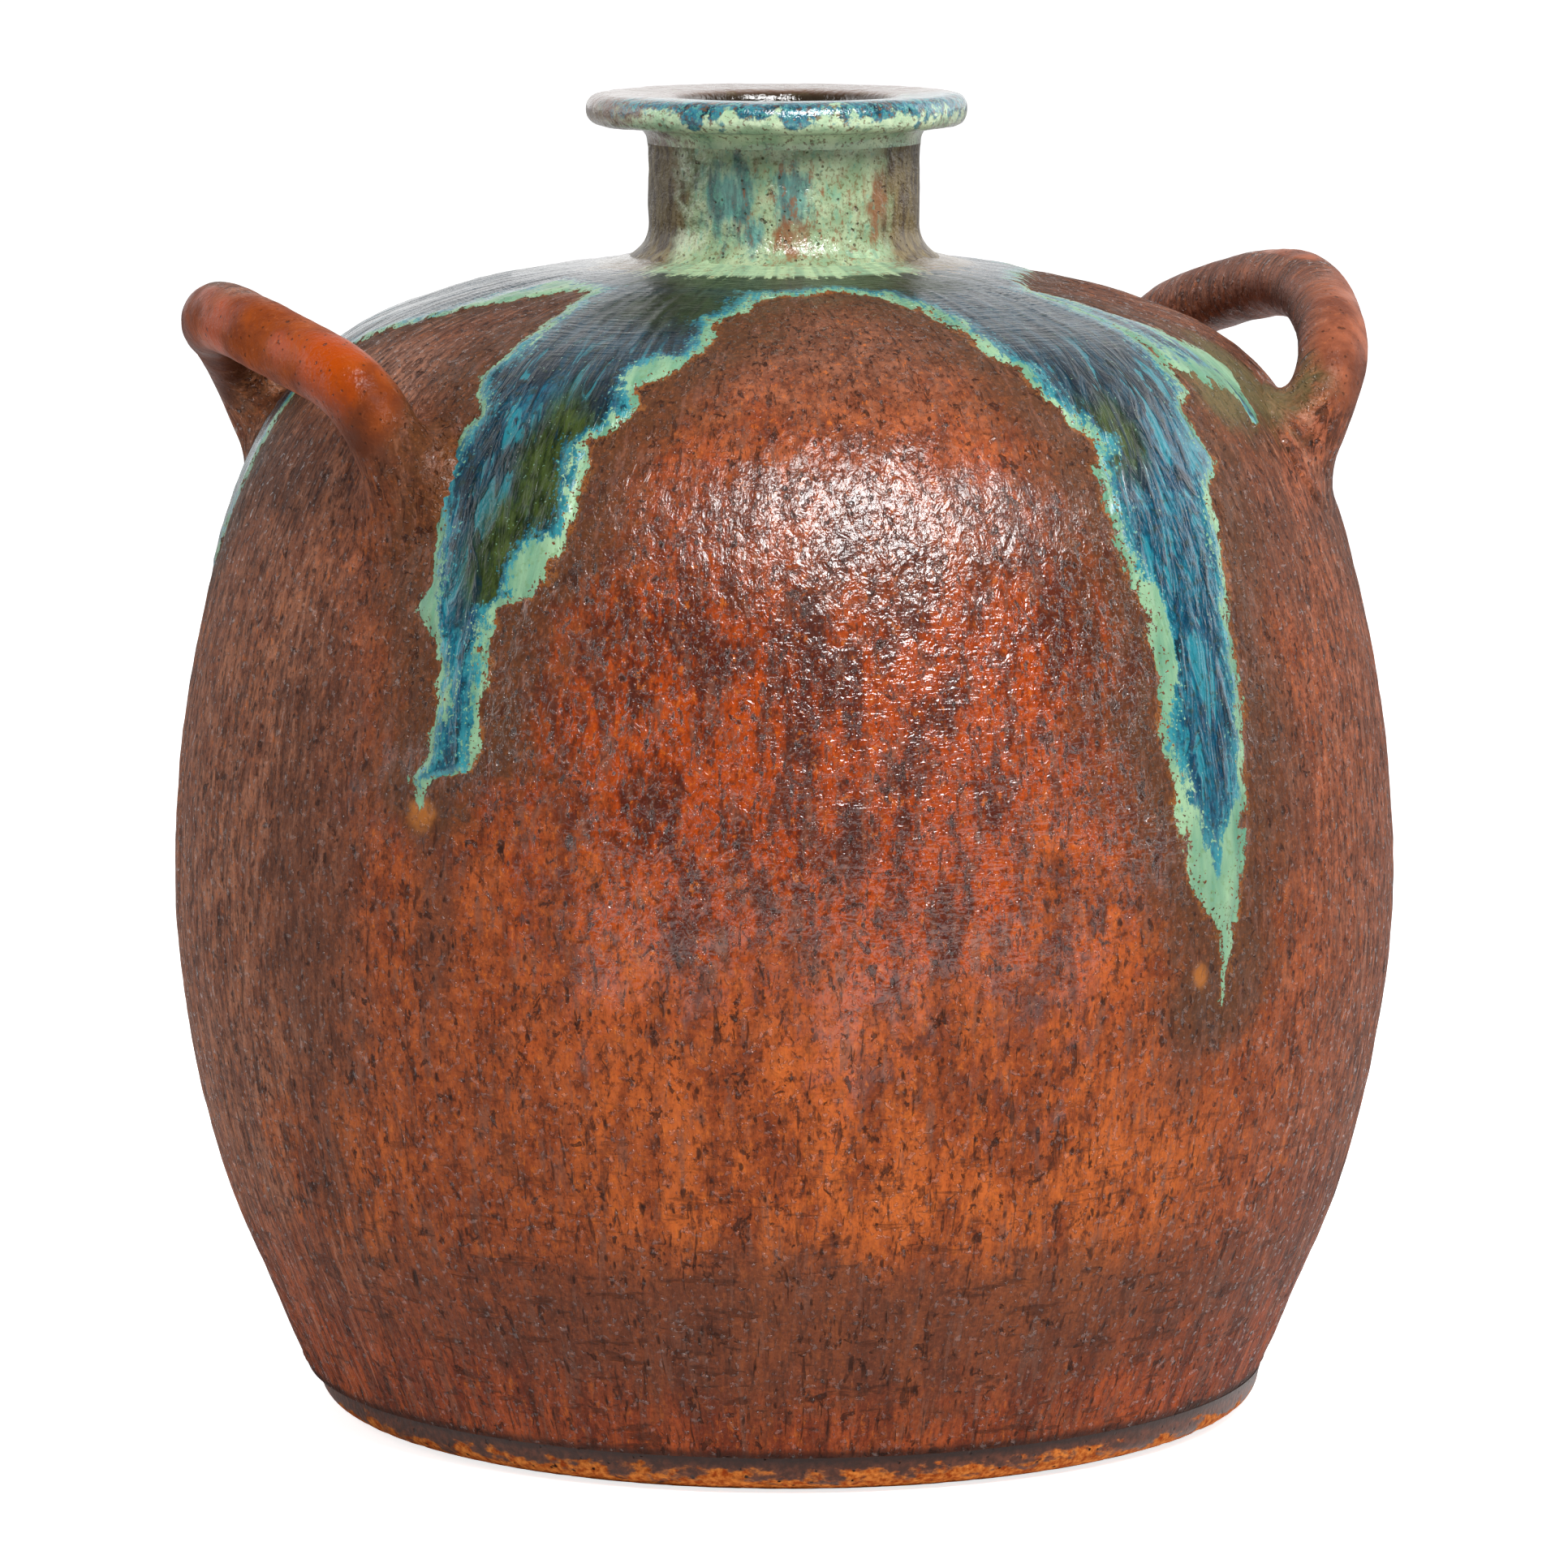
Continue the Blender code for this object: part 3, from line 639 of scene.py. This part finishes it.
# What the glaze and the clay under it do all over: combed, brushed, pitted, scratched.
dry = spread(grain(stretched(skin, 1, 0.24), 3.4, 5.0, 0.66, 0.3), 0.55, 0.63, 0.0, 0.6)
trickle = spread(grain(stretched(skin, 1, 0.3), 6.0, 5.0, 0.65, 0.4), 0.52, 0.6, 0.0, 0.75)
toothed = spread(comb, 0.52, 0.59) * (sides * 0.5 + 0.17)
ridges = spread(comb, 0.46, 0.36) * (sides * 0.45)
grooves = spread(stroke, 0.62, 0.68)
pocks = spread(grain(stretched(point, 1, 0.7), 3.4, 4.0, 0.62, 0.5), 0.62, 0.67)
scratch = spread(grain(stretched(skin, 0.14, 1), 1.8, 3.0, 0.6), 0.58, 0.66)
scratch = scratch * spread(run, run_at(130), run_at(34), 0.12, 1.0)
grog = add(RUST, GROG, stretched(skin, 1, 0.6), 1.7, 0.38)
ochre = spread(taken["Inside"], -2.0, -0.5) * spread(mottle, 0.4, 0.6, 0.1, 0.6)
ochre = larger(ochre * spread(angle, -53.0, -47.0, 0.25, 1.0), drops)
colour = coated(
    tint(spread(mottle, 0.3, 0.7), "#743214", "#9a4c24"),
    (left_side, tint(spread(mottle, 0.3, 0.72), "#6f3e2a", "#9a6449")),
    (right_side, tint(spread(mottle, 0.3, 0.72), "#673620", "#96563d")),
    (low, tint(spread(column, 0.4, 0.6), "#6a2a14", "#9e4822")),
    (orange, tint(spread(column, 0.4, 0.6), "#7c3716", "#b35a24")),
    (glossy, tint(spread(column, 0.42, 0.56), "#48170b", "#953706")),
    (rusty_top, tint(spread(column, 0.4, 0.62), "#5b2e20", "#853a18")),
    (shoulder, tint(spread(mottle, 0.35, 0.7), "#5d3828", "#82523d")),
    # Painted reflection of light from the left on the left shoulder.
    (shoulder_reflection * 0.55, "#9a7260"),
    (spread(speckle, 0.44, 0.34, 0.0, 0.6), "#b9601f"),
    (spread(speckle, 0.52, 0.62, 0.0, 0.75), "#3f1a0c"),
    # Dull brown, partly painted shade under the handles.
    (dusky_and_handle_shade * 0.7, "#533224"),
    (halo * 0.92, tint(speckle, "#57361f", "#3b2315")),
    (spread(streak, 0.52, 0.64, 0.0, 0.5), "#40241a"),
    (dry, "#6b4536"),
    (trickle * glossy, "#3f1c14"),
    (toothed, "#3a1e13"),
    (ridges, "#a9755c"),
    (grooves * 0.7, "#34180d"),
    (pocks * 0.8, "#2c140c"),
    (spread(fine, 0.52, 0.64, 0.0, 0.3), "#3a1b10"),
    (spread(fine, 0.46, 0.34, 0.0, 0.18), "#a8603a"),
    (scratch * 0.6, "#3a1c10"),
    (grog["Pit"] * 0.8, "#27120a"),
    (ochre, "#8f5523"),
    (film * 0.6, "#63603f"),
    # Painted shade under the base roll.
    (under, "#27130b"),
)

# How it shines, and how its surface stands up or lies low.
gleam = larger(glossy, halo * 0.25) + (mottle - 0.5) * 0.9
beads = spread(grain(point, 1.5, 2.0, 0.5), 0.57, 0.67)
height = grain(stretched(point, 1, 0.7), 4.0, 3.0, 0.58, 0.6) * 0.85 + grog["Height"]
for relief, much in (
    (grain(stretched(skin, 1, 3.2), 5.0, 2.0, 0.5) * ripple, 0.5), (streak, 0.25),
    (comb, sides * -0.9 + -0.15), (grooves, -0.3), (scratch, -0.25), (pocks, -0.4), (fine, 0.05),
    (beads, 0.3),
):
    height = relief * much + height
give(
    made, Colour=colour, Roughness=spread(gleam, 0.0, 1.0, 0.62, 0.3), Height=height,
    Gloss=larger(spread(gleam, 0.15, 0.85, 0.06, 0.9), beads * 0.7),
)

# Poured glaze: mint where it is thin at its edges, then teal, and blue and olive where it is deep.
POURED, taken, made = recipe("Poured glaze", ("Inside",), ("Colour", "Height", "Cover", "Gloss"))
around = add(POURED, AROUND)
point, skin, angle, run = (around[label] for label in ("Point", "Skin", "Angle", "Run"))
streak = grain(stretched(skin, 1, 0.24), 2.8, 6.0, 0.74)
stream = grain(stretched(skin, 1, 0.22), 6.0, 4.0, 0.55, 1.4)
wide = grain(stretched(skin, 1, 0.2), 8.0, 3.0, 0.6)
rings = grain(stretched(skin, 0.1, 1), 1.5, 3.0, 0.6)
mottle = grain(point, 2.0, 5.0, 0.7)
specks = grain(point, 0.8, 2.0, 0.6)
warp = (wide - 0.5) * 1.2 + (mottle - 0.5)
brushed = spread(run, run_at(266), run_at(279))
olive_here = patches(around, warp, [
    (-42.5, 250, 4.8, 28), (-46, 226, 4.6, 24), (20.5, 254, 4.5, 16), (-37, 282.5, 15, 18),
    (-15, 286.2, 50, 14), (8, 286, 20, 15),
])
pale_here = patches(around, warp, [
    (-35.5, 270.5, 4, 8), (-43, 226, 4, 10), (-88, 284, 26, 18), (52, 268, 13, 20),
    (19.6, 206, 2.2, 18), (-54.2, 210, 2, 12),
])
pale_here = larger(pale_here, spread(run, run_at(176), run_at(146)))
vivid_here = patches(around, warp, [
    (24, 196, 9, 60), (27, 240, 7, 30), (-51, 205, 4, 28), (-47, 262, 4, 12),
])
depth = (mottle - 0.5) * 6.0 + ((streak - 0.5) * 13.0 + taken["Inside"])
depth = pale_here * -7.0 + depth
by_neck = spread(larger(warp, 0.0) * -30.0 + around["Radius"], 47.5, 45.0)
mint = coated(
    tint(spread(wide, 0.3, 0.7), "#507f68", "#87a683"),
    (spread(mottle, 0.52, 0.68, 0.0, 0.6), "#5f7a4c"),
)
teal = tint(spread(streak, 0.35, 0.65), "#073a55", "#2f8088")
vivid = tint(spread(streak, 0.4, 0.64), "#033a55", "#10667a")
blue = coated(
    tint(spread(streak, 0.38, 0.6), "#03131c", "#0a3040"),
    (vivid_here * spread(mottle, 0.3, 0.6, 0.9, 0.4), vivid),
    (spread(stream, 0.56, 0.62, 0.0, 0.85), "#04121f"),
    (spread(stream, 0.44, 0.38, 0.0, 0.6) * (1.0 - brushed), "#27808c"),
)
olive = coated(
    tint(spread(streak, 0.35, 0.65), "#0f180a", "#3a4720"),
    (spread(stream, 0.57, 0.63, 0.0, 0.8), "#05222e"),
    (brushed * 0.65, "#0a180e"),
)
deep = coated(
    blue,
    (olive_here, olive),
    (spread(mottle, 0.54, 0.64, 0.0, 0.6), "#1d2c1c"),
    (spread(specks, 0.68, 0.73, 0.0, 0.5), "#7fa58c"),
)
thin = coated(
    tint(spread(streak, 0.35, 0.65), "#42331f", "#726341"),
    (in_front(warp * 12.0 + angle), tint(spread(wide, 0.3, 0.7), "#76957a", "#a3ba93")),
    (spread(mottle, 0.54, 0.64, 0.0, 0.75), "#7b5838"),
)
colour = coated(
    mint, (spread(depth, 1.6, 3.6), teal), (spread(depth, 3.8, 6.8), deep), (by_neck, thin)
)
height = mottle * 0.18 + blend(brushed, wide * 0.7 + stream * 0.9, rings * 0.8)
gleam = olive_here * -0.35 + spread(depth, 1.0, 3.6, 0.2, 0.6)
gleam = brushed * 0.12 + (gleam + spread(angle, -62.0, -84.0, 0.0, 0.3))
give(
    made, Colour=colour, Height=height, Cover=spread(taken["Inside"], -0.1, 0.3),
    Gloss=larger(gleam, 0.1),
)


def body_glaze(tree):
    """Rust glaze all over, with the poured glaze where it ran."""
    inside = add(tree, POURED_EDGE)["Inside"]
    rust = add(tree, RUST, inside)
    poured = add(tree, POURED, inside)
    cover = poured["Cover"]
    colour = tint(cover, rust["Colour"], poured["Colour"])
    height = blend(cover, rust["Height"], poured["Height"])
    gloss = blend(cover, rust["Gloss"], poured["Gloss"])
    return colour, blend(cover, rust["Roughness"], 0.3), height, gloss


dressed(lower_wall, fired("rust glaze below the belly", body_glaze), "rust_glaze", "lower_wall")
dressed(upper_wall, fired("rust glaze above the belly", body_glaze), "rust_glaze", "upper_wall")

# ---- Neck ----
# A short thrown collar joined to the shoulder with a flare. The glaze went on thick here:
# mint in front with blue spots and rusty pinholes, thin and brown at both sides.
BORE, NECK_R, NECK_LOW, NECK_TOP = 26.3, 34.1, 277.8, 317.5
FLARE = (
    (49.0, 286.6), (44.5, 287.3), (40.6, 288.5), (37.4, 290.3), (35.2, 292.6), (34.2, 295.4),
    (34.1, 300),
)
NECK_OUT = flowing(FLARE, 0.8)
points = list(NECK_OUT) + [(NECK_R, height) for height in np.arange(301, NECK_TOP - 0.1, 0.8)]
points += [(NECK_R, NECK_TOP)] + [(BORE, height) for height in (NECK_TOP, 307, 297, 287, NECK_LOW)]
neck = thrown("neck_body", points + [(SEAT_R, NECK_LOW)], columns=288)
found = places(neck)
for place, outward in zip(found, places(neck, "normal")):
    if np.hypot(*place[:2]) > NECK_R - 1.1 and place[2] > SEAT - 0.1:
        lump = 0.25 + 0.3 * noise.noise(Vector(place) / 11) + 0.15 * noise.noise(Vector(place) / 4)
        ends = ease(place[2], SEAT - 0.1, 290) * ease(-place[2], -NECK_TOP, -316)
        place -= outward * max(lump, 0.0) * ends
put(neck, found)


def neck_glaze(tree):
    around = add(tree, AROUND)
    point = around["Point"]
    wide = grain(point, 7.0, 4.0, 0.6)
    fine = grain(point, 1.1, 3.0, 0.65)
    streak = grain(stretched(point, 1, 0.25), 2.4, 3.0, 0.6)
    rusty = grain(stretched(point, 1, 0.5), 1.9, 5.0, 0.75)
    warp = (streak - 0.5) * 2.2 + (wide - 0.5) * 1.8
    front = in_front((wide - 0.5) * 40.0 + around["Angle"])
    blue_here, brown_here, speckled = (
        patches(around, warp, spots, "Up")
        for spots in (
            [(-42, 306, 11, 9), (-14, 306, 8, 7), (-30, 296, 5, 5)],
            [(25, 304, 6, 8), (-15, 296, 7, 4)],
            [(-8, 302, 26, 13), (0, 296, 20, 8)],
        )
    )
    grog = add(tree, GROG, point, 1.3, 0.6)
    mint = coated(
        tint(spread(wide, 0.3, 0.7), "#7b9270", "#a4b28e"),
        (spread(fine, 0.52, 0.66, 0.0, 0.8), "#5f5a38"),
        (blue_here * 0.8, tint(spread(streak, 0.35, 0.65), "#1d4a54", "#4f8f8c")),
        (brown_here * 0.85, "#7d4a2c"),
        (spread(rusty, 0.52, 0.62, 0.0, 0.85) * (speckled * 0.7 + 0.2), "#7b4d30"),
        (spread(rusty, 0.46, 0.36, 0.0, 0.5), "#5f9a84"),
    )
    olive = tint(spread(streak, 0.35, 0.65), "#42331f", "#726341")
    colour = coated(olive, (front, mint), (grog["Pit"] * 0.7, "#4a3620"))
    gleam = spread(wide, 0.35, 0.6, 0.35, 0.9) * spread(front, 0.0, 1.0, 0.4, 1.0)
    return colour, spread(wide, 0.3, 0.7, 0.3, 0.45), wide * 0.6 + grog["Height"], gleam


dressed(neck, fired("mottled neck", neck_glaze), "mottled_green_glaze", "neck")

# ---- Rim ----
# The flat flange round the mouth, pressed a little towards the left handle. Its edge is thick
# with glossy glaze: mint, blue and near black in turn.
RIM_SECTION = (
    (34.1, 317.4), (34.3, 318.9), (35.2, 320.4), (36.8, 321.3), (38.6, 321.5), (41.5, 321.5),
    (44.4, 321.6), (46.2, 322.3), (47.3, 323.7), (47.7, 325.6), (47.5, 327.4), (46.6, 328.9),
    (44.9, 329.8), (42.5, 330.0), (38.0, 329.7), (33.0, 329.3), (29.4, 329.0), (27.5, 328.3),
    (26.6, 327.0), (26.3, 325.2), (26.3, 321.0), (26.3, 317.4),
)
RIM_R, RIM_SHIFT = 47.7, 2.0
rim = thrown("rim_body", flowing(RIM_SECTION, 0.7), columns=360)
found = places(rim)
for place, outward in zip(found, places(rim, "normal")):
    out = np.hypot(*place[:2])
    wave = 0.3 + 0.3 * noise.noise(Vector(place) / 17) + 0.12 * noise.noise(Vector(place) / 5)
    place -= outward * max(wave, 0.0) * ease(out, NECK_R, RIM_R)
    place[0] -= RIM_SHIFT * min(max((out - NECK_R) / (RIM_R - NECK_R), 0.0), 1.0)
put(rim, found)


def rim_glaze(tree):
    around = add(tree, AROUND)
    point = around["Point"]
    wide = grain(point, 8.0, 4.0, 0.6)
    fine = grain(point, 1.2, 3.0, 0.65)
    streak = grain(point, 3.0, 4.0, 0.65)
    turn = (streak - 0.5) * 90.0 + around["Angle"]
    brown = larger(spread(turn, -58.0, -84.0), spread(turn, 62.0, 88.0))
    dark = spread(around["Up"] * 0.05 + wide + streak * 0.5, 17.02, 17.12)
    blue = coated(
        tint(spread(streak, 0.35, 0.65), "#0b1f2b", "#2f7488"),
        (spread(fine, 0.46, 0.4, 0.0, 0.7), "#4f8f86"),
    )
    colour = coated(
        tint(spread(wide, 0.3, 0.7), "#8cab88", "#c0d0aa"),
        (dark, blue),
        (spread(streak, 0.56, 0.64, 0.0, 0.45), "#3f6a5a"),
        (brown * 0.85, tint(streak, "#4a2c1c", "#85583c")),
        (spread(fine, 0.54, 0.64, 0.0, 0.8), "#5f4129"),
        (spread(around["Radius"], 28.5, 26.5), "#2a2117"),
    )
    height = wide * 0.8 + streak * 0.5
    return colour, spread(wide, 0.3, 0.7, 0.25, 0.35), height, spread(wide, 0.3, 0.5, 0.7, 1.0)


dressed(rim, fired("dripped rim", rim_glaze), "mottled_green_glaze", "rim")

# ---- Handles ----
# Two rods of rolled clay, bent into loops and luted on to the shoulder, each foot smoothed into
# the wall with a thumb. The left loop is redder and glossier, and reaches further out.
ROD, ROOT, FILLET = 8.8, 15, 7.0

# Each loop: its side, its sheen, its bright, deep and glowing colour, and the middle of its rod
# from the front foot to the top, as (forward, out, up).
LOOPS = {
    "left": (-1, 0.03, ("#8e4110", "#682a0b", "#9b3b02"), (
        (63.2, 114.05, 237.4), (65.1, 118.4, 249.1), (64.15, 122.3, 257.5), (60.9, 125.8, 263.25),
        (55.95, 129, 266.95), (49.8, 131.85, 269.3), (43, 134.4, 270.95), (36, 136.7, 272.5),
        (28.9, 138.7, 273.9), (21.75, 140.35, 275.1), (14.5, 141.6, 276.1), (7.25, 142.3, 276.75),
        (0, 142.6, 277),
    )),
    "right": (1, 0.1, ("#a05c40", "#683522", "#ab5a2a"), (
        (63.25, 112.2, 239.95), (65.5, 116.15, 250.1), (64.75, 119.55, 257.6),
        (61.45, 122.45, 263.05), (56.4, 125, 266.95), (50.05, 127.2, 269.7), (43.1, 129.25, 271.85),
        (36, 131.15, 273.7), (28.8, 132.85, 275.4), (21.65, 134.3, 276.85), (14.45, 135.45, 277.95),
        (7.2, 136.2, 278.65), (0, 136.4, 278.9),
    )),
}


def rod_path(side, half):
    """The middle of a rod: a root in the wall, up over the loop and down to the other root."""
    half = [Vector((side * out, -forward, up)) for forward, out, up in half]
    root = half[0] + (half[0] - half[1]).normalized() * ROOT
    near = [root] + half
    far = [Vector((spot.x, -spot.y, spot.z)) for spot in near[-2::-1]]
    return flowing(near + far, 1.5)


def handle(name, side, half):
    """A bent rod with feet that widen into the wall. Its attribute foot tells how near they are."""
    rod = drawn(name, rod_path(side, half))
    bpy.ops.object.convert(target="CURVE")
    curve = rod.data
    curve.bevel_depth = ROD * MM
    curve.bevel_resolution = 22
    curve.use_fill_caps = True
    curve.twist_mode = "MINIMUM"
    bpy.ops.object.convert(target="MESH")
    rod = bpy.context.object
    cleaned(60)
    found = places(rod)
    foot = np.zeros(len(found))
    for index, (place, normal) in enumerate(zip(found, places(rod, "normal"))):
        place, normal = Vector(place), Vector(normal)
        out = place.xy.length
        slope = (radius_at(place.z + 1) - radius_at(place.z - 1)) / 2
        away = (out - radius_at(place.z)) / (1 + slope * slope) ** 0.5
        wall_out = Vector((place.x / out, place.y / out, -slope)).normalized()
        lump = 0.35 * noise.noise(place / 16) + 0.14 * noise.noise(place / 4.5) - 0.15
        place += normal * lump
        if away < FILLET:
            reach = FILLET - (FILLET**2 - (FILLET - max(away, 0.0)) ** 2) ** 0.5
            along = normal - wall_out * normal.dot(wall_out)
            place += along.normalized() * reach * 1.1
        found[index] = place
        foot[index] = ease(-away, -24, -3)
    put(rod, found)
    rod.data.attributes.new("foot", "FLOAT", "POINT").data.foreach_set("value", foot)
    return rod


def loop_glaze(bright, deep, glow):
    """A maker of the glaze on a handle, which turns into the wall's glaze at its feet."""

    def surface(tree):
        around = add(tree, AROUND)
        point = around["Point"]
        wide = grain(point, 11.0, 4.0, 0.6)
        fine = grain(point, 1.3, 3.0, 0.62)
        cloud = grain(point, 26.0, 3.0, 0.55)
        grog = add(tree, GROG, point, 1.2, 0.4)
        near = tree.nodes.new("ShaderNodeAttribute")
        near.attribute_name = "foot"
        foot = spread((wide - 0.5) * 0.9 + Value(near.outputs["Fac"]), 0.3, 0.8)
        wall = add(tree, RUST, add(tree, POURED_EDGE)["Inside"])
        colour = coated(
            tint(spread(wide, 0.3, 0.7), deep, bright),
            (spread(cloud, 0.5, 0.68, 0.0, 0.85), glow),
            (grog["Pit"] * 0.7, "#3a1c10"),
            (spread(fine, 0.58, 0.75, 0.0, 0.4), "#b4663a"),
            (spread(wide * 26.0 + around["Up"], 284.0, 262.0, 0.0, 0.85), "#4f2b1c"),
            # Painted shade: each loop darkens towards the back, which faces away from the light.
            (spread(around["Back"], 2.0, 26.0, 0.0, 0.6), "#41231a"),
            (foot, wall["Colour"]),
        )
        height = fine * 0.3 + (wide * 0.8 + grog["Height"])
        gloss = blend(foot, spread(cloud, 0.45, 0.65, 0.02, 0.24), wall["Gloss"])
        roughness = spread(cloud, 0.35, 0.65, 0.55, 0.4)
        return colour, roughness, blend(foot, height, wall["Height"]), gloss

    return surface


for name, (side, sheen, paints, half) in LOOPS.items():
    rod = handle(f"{name}_handle_rod", side, half)
    glaze = fired(f"{name} handle glaze", loop_glaze(*paints), sheen)
    dressed(rod, glaze, "handle_glaze", f"{name}_handle")

# ---- Poured glaze: the collar round the neck and its runs ----
# Thick glossy glaze, poured over the shoulder from the neck. It pooled dark round the neck and
# ran down in tongues that stand a little proud, with ragged mint edges.
PROUD, SUNK, THICK = 0.6, 0.45, 1.2
COLLAR_LOW, COLLAR_TOP, RUN_TOP = 281, 293.5, 285.5
MARGIN, COLUMN_TURN = 3, 0.45
poured_glaze = fired("poured glaze", body_glaze)


def laid_on(piece, name, keep):
    """Lifts a patch of skin to the face of the glaze, and sinks it in the wall where keep is 0."""
    found = places(piece)
    inside = inside_glaze(found, name)
    for index, outward in enumerate(places(piece, "normal")):
        place = Vector(found[index])
        edge = ease(inside[index] + 1.3 * noise.noise(place / 4), -1.6, 3.0) * keep(place)
        lift = -SUNK + (PROUD + SUNK) * edge + 0.12 * noise.noise(place / 7)
        found[index] -= outward * (carved(place) * ease(-place.z, -287.5, -284) - lift)
    put(piece, found)
    shell = piece.modifiers.new("Glaze thickness", "SOLIDIFY")
    shell.thickness = THICK * MM
    shell.offset = -1.0
    bpy.context.view_layer.objects.active = piece
    bpy.ops.object.modifier_apply(modifier=shell.name)
    bpy.ops.object.shade_smooth_by_angle(angle=radians(60))


def collar_keep(place):
    """Where the collar is thick: between the runs below it and the neck's flare."""
    lie = place.z - place.xy.length
    return ease(lie, run_at(281.2), run_at(283)) * ease(-place.z, -290.2, -287.8) * 0.96


line = [point for point in OUTLINE if point[1] > COLLAR_LOW]
line += [point for point in NECK_OUT if SEAT + 0.2 < point[1] < COLLAR_TOP]
collar = thrown("glaze_collar_pool", line, columns=480, closed=False)
laid_on(collar, "all", collar_keep)
dressed(collar, poured_glaze, "run_glaze", "glaze_collar")


def run_keep(place):
    """Where a run is thick: all the way up to the collar, which it goes under."""
    return 1 - ease(place.z - place.xy.length, run_at(284.2), run_at(285.3))


for name, (left, right) in RUNS.items():
    low = min(height for turn, height in left) - MARGIN
    start = min(turn for turn, height in left) - MARGIN
    sweep = max(turn for turn, height in right) + MARGIN - start
    line = [point for point in OUTLINE if low < point[1] < RUN_TOP]
    columns = round(sweep / COLUMN_TURN)
    piece = thrown(f"{name}_glaze", line, columns, start, sweep, closed=False)
    bpy.ops.object.mode_set(mode="EDIT")
    bpy.ops.mesh.select_all(action="DESELECT")
    bpy.ops.object.mode_set(mode="OBJECT")
    middles = np.array([face.center for face in piece.data.polygons]) / MM
    for face, depth in zip(piece.data.polygons, inside_glaze(middles, name)):
        face.select = bool(depth < -MARGIN)
    bpy.ops.object.mode_set(mode="EDIT")
    bpy.ops.mesh.delete(type="FACE")
    bpy.ops.object.mode_set(mode="OBJECT")
    laid_on(piece, name, run_keep)
    dressed(piece, poured_glaze, "run_glaze", name)

# ---- Where it stands: floor, light and camera ----
# A pale floor under one bright soft box above the front and two faint ones at the sides, in a
# white room. The camera stands where the photo was taken from.
AZIMUTH, PITCH, DISTANCE, EYE, LENS = -17.65, 8.186882, 1.922095, 0.432306, 176.79
FLOOR_RADIUS, AIM = 14, 0.15


def light(name, size, power, turn, rise, away):
    """A soft box aimed at the vase, from this side and this high above level."""
    bpy.ops.object.light_add(type="AREA", location=(0, 0, 0))
    lamp = bpy.context.object
    lamp.name = lamp.data.name = name
    lamp.data.shape = "RECTANGLE"
    lamp.data.size, lamp.data.size_y = size
    lamp.data.energy = power
    turn, rise = radians(turn), radians(rise)
    way = Vector((sin(turn) * cos(rise), -cos(turn) * cos(rise), sin(rise)))
    lamp.location = Vector((0, 0, AIM)) + way * away
    lamp.rotation_euler = (-way).to_track_quat("-Z", "Y").to_euler()


light("soft box above", (0.54, 0.48), power=22.5, turn=3, rise=45.5, away=1.25)
light("soft box left", (0.7, 1.2), power=6, turn=-108, rise=22, away=1.5)
light("soft box right", (0.7, 1.2), power=4.8, turn=96, rise=22, away=1.5)

# The floor glows for the camera alone, so that it comes out white round the shadow.
bpy.ops.mesh.primitive_circle_add(
    vertices=128, radius=FLOOR_RADIUS, fill_type="NGON", location=(0, 0, 0)
)
floor = bpy.context.object
floor.name = floor.data.name = "studio_floor"
paper = bpy.data.materials.new("white paper")
paper.use_nodes = True
tree = paper.node_tree
shader = tree.nodes["Principled BSDF"]
give(shader.inputs, Base_Color=shade("#f4f4f4"), Roughness=0.9, Specular_IOR_Level=0.0)
seen = Value(tree.nodes.new("ShaderNodeLightPath").outputs["Is Camera Ray"])
glow = step("Emission", (1, 1, 1, 1), seen * 0.78)
both = step("AddShader", Value(shader.outputs[0]), glow)
give(tree.nodes["Material Output"].inputs, Surface=both)
floor.data.materials.append(paper)

# The room is bright behind the vase, less so overhead and dim behind the camera, which itself
# sees it plain white.
world = bpy.data.worlds.new("white room")
bpy.context.scene.world = world
world.use_nodes = True
tree = world.node_tree
direct = Value(tree.nodes.new("ShaderNodeTexCoord").outputs["Generated"])
turn = radians(AZIMUTH)
ahead = step("VectorMath", direct, (-sin(turn), cos(turn), 0), operation="DOT_PRODUCT")
behind = spread(ahead, -0.1, 0.35, 0.06, 1.15) * spread(separate(direct)[2], 0.3, 0.9, 1.0, 0.6)
path = tree.nodes.new("ShaderNodeLightPath").outputs
seen = larger(Value(path["Is Camera Ray"]), Value(path["Is Transmission Ray"]))
give(tree.nodes["Background"].inputs, Color=(1, 1, 1, 1), Strength=blend(seen, behind, 1.0))

turn, tip = radians(AZIMUTH), radians(PITCH)
back = Vector((sin(turn) * cos(tip), -cos(turn) * cos(tip), sin(tip)))
right = Vector((cos(turn), sin(turn), 0))
stand = Matrix((right, back.cross(right), back)).transposed().to_4x4()
stand.translation = Vector((sin(turn) * DISTANCE, -cos(turn) * DISTANCE, EYE))
bpy.ops.object.camera_add(location=(0, 0, 0))
camera = bpy.context.object
camera.matrix_world = stand
camera.data.sensor_width = 36
camera.data.sensor_fit = "HORIZONTAL"
camera.data.lens = LENS
camera.data.clip_start, camera.data.clip_end = 0.05, 40
bpy.context.scene.camera = camera
bpy.context.scene.view_settings.view_transform = "Standard"
